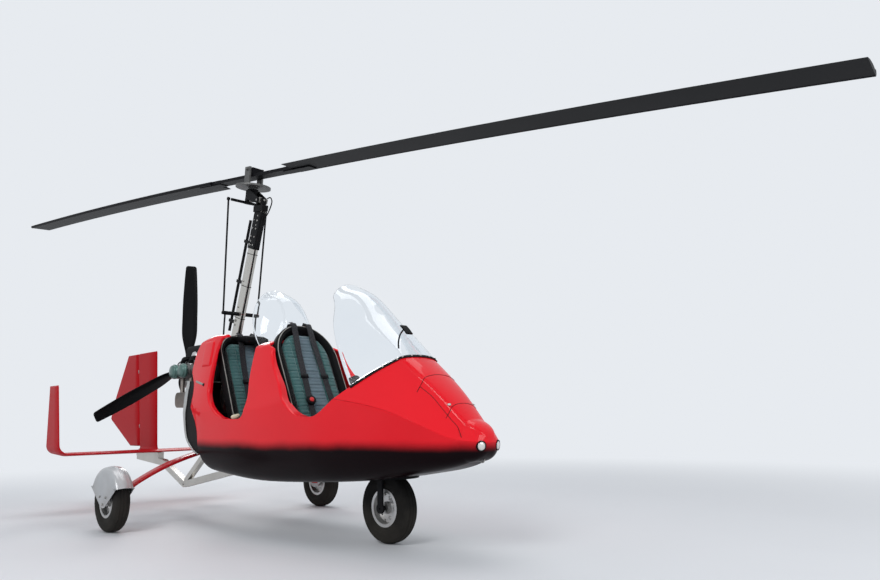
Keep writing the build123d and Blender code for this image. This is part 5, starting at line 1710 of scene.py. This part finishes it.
# The line in the rear view: down the upright end, round the corner, and in to the middle
turn = np.linspace(0, PI / 2, 14)
heights = np.linspace(END_TOP, TAIL_Z + TAIL_BEND, 34)[:-1]
upright = np.stack([np.full(len(heights), END_Y), heights], -1)
corner_y = END_Y - TAIL_BEND + TAIL_BEND * np.cos(turn)
corner_z = TAIL_Z + TAIL_BEND - TAIL_BEND * np.sin(turn)
corner = np.stack([corner_y, corner_z], -1)
level_y = np.linspace(END_Y - TAIL_BEND, 0, 40)[1:]
level = np.stack([level_y, np.full(len(level_y), TAIL_Z)], -1)
left = np.vstack([upright, corner, level])
whole = np.vstack([left, (left * (-1, 1))[-2::-1]])
direction = unit(np.gradient(whole, axis=0))
normal = np.stack([-direction[:, 1], direction[:, 0]], -1)
reach = np.abs(whole[:, 0])
rise = np.maximum(whole[:, 1] - TAIL_Z, 0)
leading = np.interp(reach, [0, 0.30, 0.812], [-1.362, -1.402, -1.500]) - 0.105 * rise / END_RISE
trailing = np.interp(reach, [0, 0.30, 0.812], [-1.948, -1.933, -1.828]) + 0.018 * rise / END_RISE
half_thick = 0.0148 - 0.0050 * smooth_step(0, 0.12, rise)
half_thick = half_thick * np.sqrt(np.clip((END_TOP + 0.0005 - whole[:, 1]) / 0.012, 0.02, 1))
share, thick = aerofoil()
points = np.empty((len(whole), len(share), 3))
points[..., 0] = leading[:, None] + (trailing - leading)[:, None] * share
points[..., 1] = whole[:, :1] + normal[:, :1] * half_thick[:, None] * thick
points[..., 2] = whole[:, 1:] + normal[:, 1:] * half_thick[:, None] * thick
tail = surface("tailplane_moulding", with_ends(points), wrap_columns=True)
dress(tail, "tail_gelcoat", replaces=["tailplane"])


def upright_surface(name, rows, half, nose, tail_share, count=60, round_off=0.014):
    """Aerofoil rings between a front and a rear edge; rows are (z, front x, rear x)."""
    rows = np.array(rows, float)
    z = np.linspace(rows[0, 0], rows[-1, 0], count)
    z = np.sort(np.concatenate([z, rows[-1, 0] - round_off * np.linspace(0, 1, 9)[1:] ** 2]))
    front, rear = np.interp(z, rows[:, 0], rows[:, 1]), np.interp(z, rows[:, 0], rows[:, 2])
    share, thick = aerofoil(nose=nose, tail=tail_share)
    near_top = np.clip((z[-1] - z) / round_off, 0, 1)
    width = half * np.sqrt(np.maximum(1 - (1 - near_top) ** 2, 0.003))
    grid = np.empty((len(z), len(share), 3))
    grid[..., 0] = front[:, None] + (rear - front)[:, None] * share
    grid[..., 1] = width[:, None] * thick
    grid[..., 2] = z[:, None]
    return surface(name, with_ends(grid), wrap_columns=True)


fin = upright_surface(
    "fin_moulding", [(0.495, -1.524, -1.847), (1.3745, -1.591, -1.9525)], 0.0198, 0.35, 0.80,
)
dress(fin, "tail_gelcoat", replaces=["fin"])
rudder = upright_surface(
    "rudder_moulding",
    [
        (0.516, -1.877, -2.090), (0.771, -1.9085, -2.572), (0.976, -1.934, -2.472),
        (1.366, -1.982, -2.210), (1.3735, -1.983, -2.203),
    ],
    0.0158, 0.12, 0.14,
)
dress(rudder, "tail_gelcoat", "rudder_body", ["rudder"])

# Fairing round the fin's foot: its half width falls with height like a fillet
FOOT_X, FOOT_Z, FOOT_RISE, FOOT_FLARE = -1.690, 0.488, 0.040, 0.030
FOOT_HALF_LENGTH, FOOT_HALF_WIDTH = 0.168, 0.018
rise = np.linspace(0, 1, 12)
turn = np.linspace(0, 2 * PI, 60, endpoint=False)
flare = FOOT_FLARE * (1 - np.sqrt(1 - (1 - rise) ** 2))
foot = np.empty((len(rise), len(turn), 3))
along = np.sign(np.cos(turn)) * np.abs(np.cos(turn)) ** 0.8
foot[..., 0] = FOOT_X + (FOOT_HALF_LENGTH + 0.9 * flare)[:, None] * along
foot[..., 1] = (FOOT_HALF_WIDTH + flare)[:, None] * np.sin(turn)
foot[..., 2] = FOOT_Z + FOOT_RISE * rise[:, None]
dress(surface("fin_foot_fairing", foot, wrap_columns=True), "tail_gelcoat")

HINGE_FOOT, HINGE_RUN = np.array([-1.862, 0, 0.515]), np.array([-0.104, 0, 0.845])
hinges = [
    turned("hinge", knob(0.012, 0.030), HINGE_FOOT + share * HINGE_RUN, (-0.122, 0, 0.992), 20)
    for share in (0.2, 0.8)
]
dress(join("rudder_hinges", *hinges), "dull_steel")
print("tail made")

# %% [markdown]
# ## Mast and controls
# The mast is a tall steel tube of oblong section that leans forward. All that sits on it is placed
# by one function, from a height, so nothing has to be turned by hand. A black sleeve with bolts
# closes its top, two links run down from the control bar, and a soft box covers its foot.

# %% Shape the mast and its fittings
LEAN = np.radians(19)
MAST_TOP = np.array([0.118, 0, 2.338])
MAST_AXIS = np.array([np.sin(LEAN), 0, np.cos(LEAN)])
MAST_AHEAD = np.array([np.cos(LEAN), 0, -np.sin(LEAN)])


def mast_at(z, ahead=0.0, aside=0.0):
    """A point beside the mast: its middle at a height, then forward and to the left."""
    down = (MAST_TOP[2] - z) / MAST_AXIS[2]
    return MAST_TOP - MAST_AXIS * down + MAST_AHEAD * ahead + np.array([0, aside, 0])


def round_mast(name, heights, width, depth, corner, count=48):
    """A band or tube of oblong section round the mast, through the given heights."""
    rings = carried([mast_at(z) for z in heights], plate(width, depth, corner, count))
    return surface(name, rings, wrap_columns=True)


def mast_cable(rows, radius):
    """A cable beside the mast; rows are (height, ahead, aside)."""
    return tube("cable", [mast_at(*row) for row in rows], radius, 60, 10)


mast = round_mast("mast_tube", np.linspace(0.50, MAST_TOP[2], 24), 0.040, 0.090, 0.16)
dress(mast, "stainless", replaces=["mast"])
bolts = [
    bolt(mast_at(z, 0.012 if z > 2.2 else -0.020, aside * 0.0198), (0, aside, 0))
    for z in (1.465, 1.495, 1.765, 1.795, 2.065, 2.095, 2.215, 2.250, 2.285, 1.60, 1.50)
    for aside in (-1, 1)
]
dress(join("mast_bolts", *bolts), "dull_steel")
rear_rows = [(1.36, -0.052, 0.012), (1.7, -0.050, 0.014), (2.0, -0.051, 0.010), (2.20, -0.054, 0.010)]
front_rows = [(1.36, 0.049, -0.008), (1.75, 0.049, -0.006), (2.1, 0.049, -0.010), (2.28, 0.052, -0.004)]
head_rows = [
    (2.26, 0.050, 0.010), (2.33, 0.085, 0.018), (2.40, 0.100, 0.020), (2.43, 0.075, 0.016),
    (2.42, 0.045, 0.010),
]
cables = [mast_cable(rear_rows, 0.0055), mast_cable(front_rows, 0.0045)]
cables += [round_mast("tie", (z, z + 0.004), 0.043, 0.103, 0.2, 32) for z in (1.52, 1.76, 2.0)]
cables.append(mast_cable(head_rows, 0.0045))
dress(join("mast_cables", *cables), "seal_rubber")

sleeve = round_mast("mast_sleeve", np.linspace(2.04, 2.315, 8), 0.050, 0.098, 0.12)
dress(sleeve, "black_metal")
sleeve_bolts = [
    bolt(mast_at(z, ahead, aside * 0.0245), (0, aside, 0))
    for z in (2.07, 2.13, 2.19, 2.25) for ahead in (-0.024, 0.024) for aside in (-1, 1)
]
dress(join("mast_sleeve_bolts", *sleeve_bolts), "dull_steel")
link_path = np.array([(-0.153, 0.133, 1.540), (-0.163, 0.133, 1.440), (-0.174, 0.132, 1.300)])
links = [tube("link", link_path * (1, side, 1), 0.0065, 12, 12) for side in (-1, 1)]
dress(join("control_links", *links), "black_metal")
box_path = [(-0.215, 0, 1.296), (-0.150, 0, 1.326), (-0.05, 0, 1.340), (0.05, 0, 1.335), (0.095, 0, 1.318)]
box = surface("mast_base_cover", carried(box_path, plate(0.185, 0.050, 0.35, 40)), wrap_columns=True)
dress(box, "black_composite")
print("mast made")

# %% [markdown]
# ## Engine
# Fins, hoses, wires, clips and bolts are what makes an engine bay look real. A photograph on plain
# blocks would give that from one side only, so each is a short lathe shape or a tube along a smooth
# line. The far side repeats the near one, since side is a factor of every y.

# %% Detail the engine
ENGINE_Z = 1.125
CYLINDER_XS = (-0.560, -0.700)
FIN_COUNT, FIN_THICK = 19, 0.0035
fin_steps = np.repeat(np.linspace(0.118, 0.236, FIN_COUNT), 2) + np.tile([0, FIN_THICK], FIN_COUNT)
fin_radius = np.repeat(np.where(np.arange(FIN_COUNT) % 2 == 0, 0.056, 0.049), 2)
fin_profile = [(0.0, 0.118), *np.stack([fin_radius, fin_steps], -1), (0.0, 0.24)]
cover_profile = [
    (0, 0.244), (0.0575, 0.244), (0.058, 0.250), (0.058, 0.262), (0.052, 0.264), (0.052, 0.272),
    (0.047, 0.281), (0.018, 0.285), (0, 0.285),
]
clip_profile = [(0.0185, 0), (0.0215, 0.002), (0.0215, 0.010), (0.0185, 0.012)]


def on_cylinders(name, profile, count):
    """One lathe shape on each of the four cylinders, whose axes run out to both sides."""
    return [
        turned(name, profile, (x, 0, ENGINE_Z), (0, side, 0), count)
        for x in CYLINDER_XS for side in (-1, 1)
    ]


fins = on_cylinders("fins", fin_profile, 40)
dress(join("cylinder_fins", *fins), "dark_alloy")
covers = on_cylinders("cover", cover_profile, 48)
dress(join("rocker_covers", *covers), "cover_green", replaces=["valve_covers"])
# the hoses at the engine's front and rear: the left side's line, and the radius
side_hoses = [
    (
        [(-0.425, 0.060, 1.150), (-0.410, 0.120, 1.110), (-0.425, 0.165, 1.040), (-0.455, 0.175, 0.975),
         (-0.500, 0.165, 0.940)],
        0.014,
    ),
    (
        [(-0.860, 0.050, 1.170), (-0.885, 0.095, 1.130), (-0.872, 0.125, 1.060), (-0.830, 0.130, 0.990),
         (-0.780, 0.120, 0.950)],
        0.012,
    ),
]
wires, hoses = [], []
for side in (-1, 1):
    for number, x in enumerate(CYLINDER_XS):
        wires.append(tube("wire", [
            (-0.60 + 0.03 * number, side * 0.09, 1.215),
            (x + 0.03, side * 0.150, 1.222 + 0.012 * number),
            (x + 0.015, side * 0.215, 1.205), (x, side * 0.232, 1.183),
        ], 0.0045, 40, 10))
        hoses.append(tube("hose", [
            (x - 0.03, side * 0.120, 1.235), (x - 0.02, side * 0.165, 1.232),
            (x - 0.005, side * 0.185, 1.205), (x, side * 0.190, 1.178),
        ], 0.018, 40, 16))
    for path, radius in side_hoses:
        hoses.append(tube("hose", np.array(path) * (1, side, 1), radius, 60, 16))
dress(join("engine_hoses", *hoses), "seal_rubber")
dress(join("ignition_wires", *wires), "black_metal")
clips = []
for side in (-1, 1):
    for x in CYLINDER_XS:
        clips.append(turned("clip", clip_profile, (x, side * 0.190, 1.172), (0, 0, 1), 24, closed=True))
    clips.append(turned("cap", knob(0.045, 0.014), (-0.640, side * 0.119, 1.245), (0, side, 0), 32))
dress(join("hose_clips", *clips), "alloy")
starter = turned(
    "starter_motor",
    [(0, 0), (0.034, 0), (0.038, 0.006), (0.038, 0.120), (0.030, 0.128), (0.018, 0.150), (0, 0.150)],
    (-0.870, -0.075, 1.045), (1, 0, 0), 40,
)
dress(starter, "dull_steel")
plate_bolts = [
    bolt((-0.9345, 0.060 * np.cos(turn), 1.1635 + 0.090 * np.sin(turn)), (-1, 0, 0), 0.007)
    for turn in np.arange(8) * PI / 4 + 0.2
]
dress(join("gearbox_bolts", *plate_bolts), "dull_steel")
print("engine detailed")

# %% [markdown]
# ## Propeller
# Three ground-adjustable blades push the machine from behind. A blade is a stack of aerofoil rings
# along a spoke: chord, thickness and pitch fall towards the tip, because the tip moves fastest.
# All three are one piece, since they turn together.

# %% Shape the propeller blades
PROP_X, PROP_Z = -0.980, 1.202
PROP_MIDDLE = np.array([PROP_X, 0, PROP_Z])
PROP_RADIUS = 0.8645
# radius, chord, thickness, pitch in degrees
BLADE_ROWS = np.array([
    (0.062, 0.046, 0.036, 45), (0.120, 0.064, 0.032, 44), (0.260, 0.121, 0.025, 38),
    (0.420, 0.122, 0.020, 30), (0.560, 0.119, 0.0165, 24), (0.720, 0.106, 0.0125, 20),
    (0.820, 0.094, 0.010, 18), (0.853, 0.086, 0.008, 17), (PROP_RADIUS, 0.060, 0.004, 17),
])


def propeller_blade(turn):
    """Aerofoil rings out along a spoke: chord and pitch are smooth lines through the rows."""
    sizes = line_through(BLADE_ROWS, 90)
    sizes[:, 0] = np.minimum(sizes[:, 0], PROP_RADIUS)
    outward = np.array([0, np.sin(turn), np.cos(turn)])
    across = np.cross(outward, (1.0, 0, 0))
    share, thick = aerofoil(48, 0.32, 0.06)
    pitch = np.radians(sizes[:, 3])[:, None]
    chord = (0.5 - share)[None] * sizes[:, 1:2]
    high = thick[None] * sizes[:, 2:3] / 2
    flat = chord * np.cos(pitch) - high * np.sin(pitch)
    deep = chord * np.sin(pitch) + high * np.cos(pitch)
    grid = (
        PROP_MIDDLE + sizes[:, None, :1] * outward + flat[..., None] * across
        + deep[..., None] * np.array([1.0, 0, 0])
    )
    return surface("blade", with_ends(grid), wrap_columns=True)


blades = join("propeller_blades", *[propeller_blade(turn) for turn in (0, 2 * PI / 3, 4 * PI / 3)])
dress(blades, "prop_carbon", "propeller", ["prop_blades"])
cap_profile = [(0, -0.049), (0.030, -0.046), (0.052, -0.036), (0.060, -0.026), (0, -0.026)]
cap_parts = [turned("cap", cap_profile, PROP_MIDDLE, (1, 0, 0), 48)]
for turn in np.arange(6) * PI / 3:
    spot = PROP_MIDDLE + (-0.0255, 0.058 * np.cos(turn), 0.058 * np.sin(turn))
    cap_parts.append(bolt(spot, (-1, 0, 0), 0.006))
dress(join("propeller_cap", *cap_parts), "dark_alloy", "propeller")
print("propeller", len(blades.data.polygons), "faces")

# %% [markdown]
# ## Small things on the pod
# A mirror on its stalk, a pull knob on the cowl, a filler cap on the sill, and seven dials behind
# the front screen. The dials could be a picture on the panel. As rings, faces and needles they
# stay sharp from near by, and catch the light as the real ones do.

# %% Add the small fittings
stalk_path = [(1.800, -0.135, 1.118), (1.806, -0.142, 1.150), (1.828, -0.150, 1.191), (1.868, -0.152, 1.226)]
stalk = tube("mirror_stalk", stalk_path, 0.0045, 40, 10)
dress(stalk, "black_metal")
mirror_path = [(1.858, -0.152, 1.240), (1.874, -0.152, 1.226), (1.892, -0.152, 1.208), (1.908, -0.152, 1.190)]
rings = carried(line_through(mirror_path, 12), plate(0.052, 0.009, 0.4, 24))
mirror = surface("mirror_head", rings, wrap_columns=True)
dress(mirror, "black_composite")
pull_path = [(-0.205, -0.318, 1.022), (-0.130, -0.330, 1.006), (-0.060, -0.336, 0.992)]
pull = tube("cowl_knob", pull_path, 0.010, 20)
dress(pull, "piping")
pull_end = turned("cowl_knob_end", knob(0.014, 0.018, 0.5), (-0.064, -0.336, 0.992), (1, -0.1, -0.2), 24)
dress(pull_end, "black_metal")
filler = turned(
    "filler_cap",
    [(0, 0), (0.026, 0), (0.030, 0.004), (0.030, 0.020), (0.024, 0.026), (0, 0.028)],
    (0.377, -0.330, 0.744), (0, -0.3, 1), 36,
)
dress(filler, "cream_cap")
PANEL_X, NEEDLE_X = 1.4995, 1.4955
# y, z, radius
dial_rows = [
    (-0.20, 0.935, 0.040), (-0.09, 0.945, 0.040), (0.02, 0.945, 0.040), (0.12, 0.950, 0.029),
    (0.21, 0.950, 0.029), (0.12, 0.880, 0.029), (0.21, 0.880, 0.029),
]
dials, faces, needles = [], [], []
for y, z, size in dial_rows:
    middle = (PANEL_X, y, z)
    ring_profile = [
        (size, 0), (size + 0.004, 0.002), (size + 0.003, 0.008), (size - 0.001, 0.007),
        (size - 0.002, 0.002),
    ]
    dials.append(turned("ring", ring_profile, middle, (-1, 0, 0), 40, closed=True))
    faces.append(turned("face", [(0, 0.0), (size, 0.0), (size, 0.003), (0, 0.003)], middle, (-1, 0, 0), 40))
    pointing = [(NEEDLE_X, y, z), (NEEDLE_X, y + 0.45 * size, z + 0.62 * size)]
    needles.append(tube("needle", pointing, 0.0012, 2, 6, straight=True))
dress(join("dial_rings", *dials), "black_metal")
dress(join("dial_faces", *faces), "dial_face")
dress(join("dial_needles", *needles), "piping")
print("fittings added")

# %% [markdown]
# ## Floor and sizes
# The floor is a plain pale plane that only the scene needs. Near the machine it is lit and keeps
# the shadow; far out it turns, by distance alone, into the tone of the world, so no horizon shows.
# The box of all that shows, floor left out, is printed at the end. The dressed machine may not
# outgrow its frame.

# %% Lay the floor and finish
FLOOR_REACH = 60.0
floor = surface(
    "studio_floor",
    [
        [(-FLOOR_REACH, -FLOOR_REACH, 0), (-FLOOR_REACH, FLOOR_REACH, 0)],
        [(FLOOR_REACH, -FLOOR_REACH, 0), (FLOOR_REACH, FLOOR_REACH, 0)],
    ],
)
floor_paint = finish(
    "floor_paint", (0.70, 0.71, 0.73), (0.66, 0.67, 0.69), 0.6, patch=(0.6, 0.4), fleck=(90, 0.1),
    relief=0.05,
)


def fade_to_world(material, near=2.6, far=8.5):
    """Mix the lit paint with a plain glow in the world's tone, by the distance from the origin."""
    tree = material.node_tree
    place = add_node(tree, "TexCoord")
    length = add_node(tree, "VectorMath", [(0, place.outputs["Object"])], operation="LENGTH")
    share = add_node(tree, "MapRange", [(0, length.outputs["Value"])], interpolation_type="SMOOTHSTEP")
    set_inputs(share, From_Min=near, From_Max=far)
    glow = add_node(tree, "Emission")
    set_inputs(glow, Color=SKY_TONE)
    out = tree.nodes["Material Output"]
    lit_paint = out.inputs["Surface"].links[0].from_socket
    blend = add_node(tree, "MixShader", [(0, share.outputs[0]), (1, lit_paint), (2, glow.outputs[0])])
    tree.links.new(blend.outputs[0], out.inputs["Surface"])


fade_to_world(floor_paint)
floor.data.materials.append(floor_paint)
floor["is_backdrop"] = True
bpy.context.view_layer.update()
print("visual box", corners())
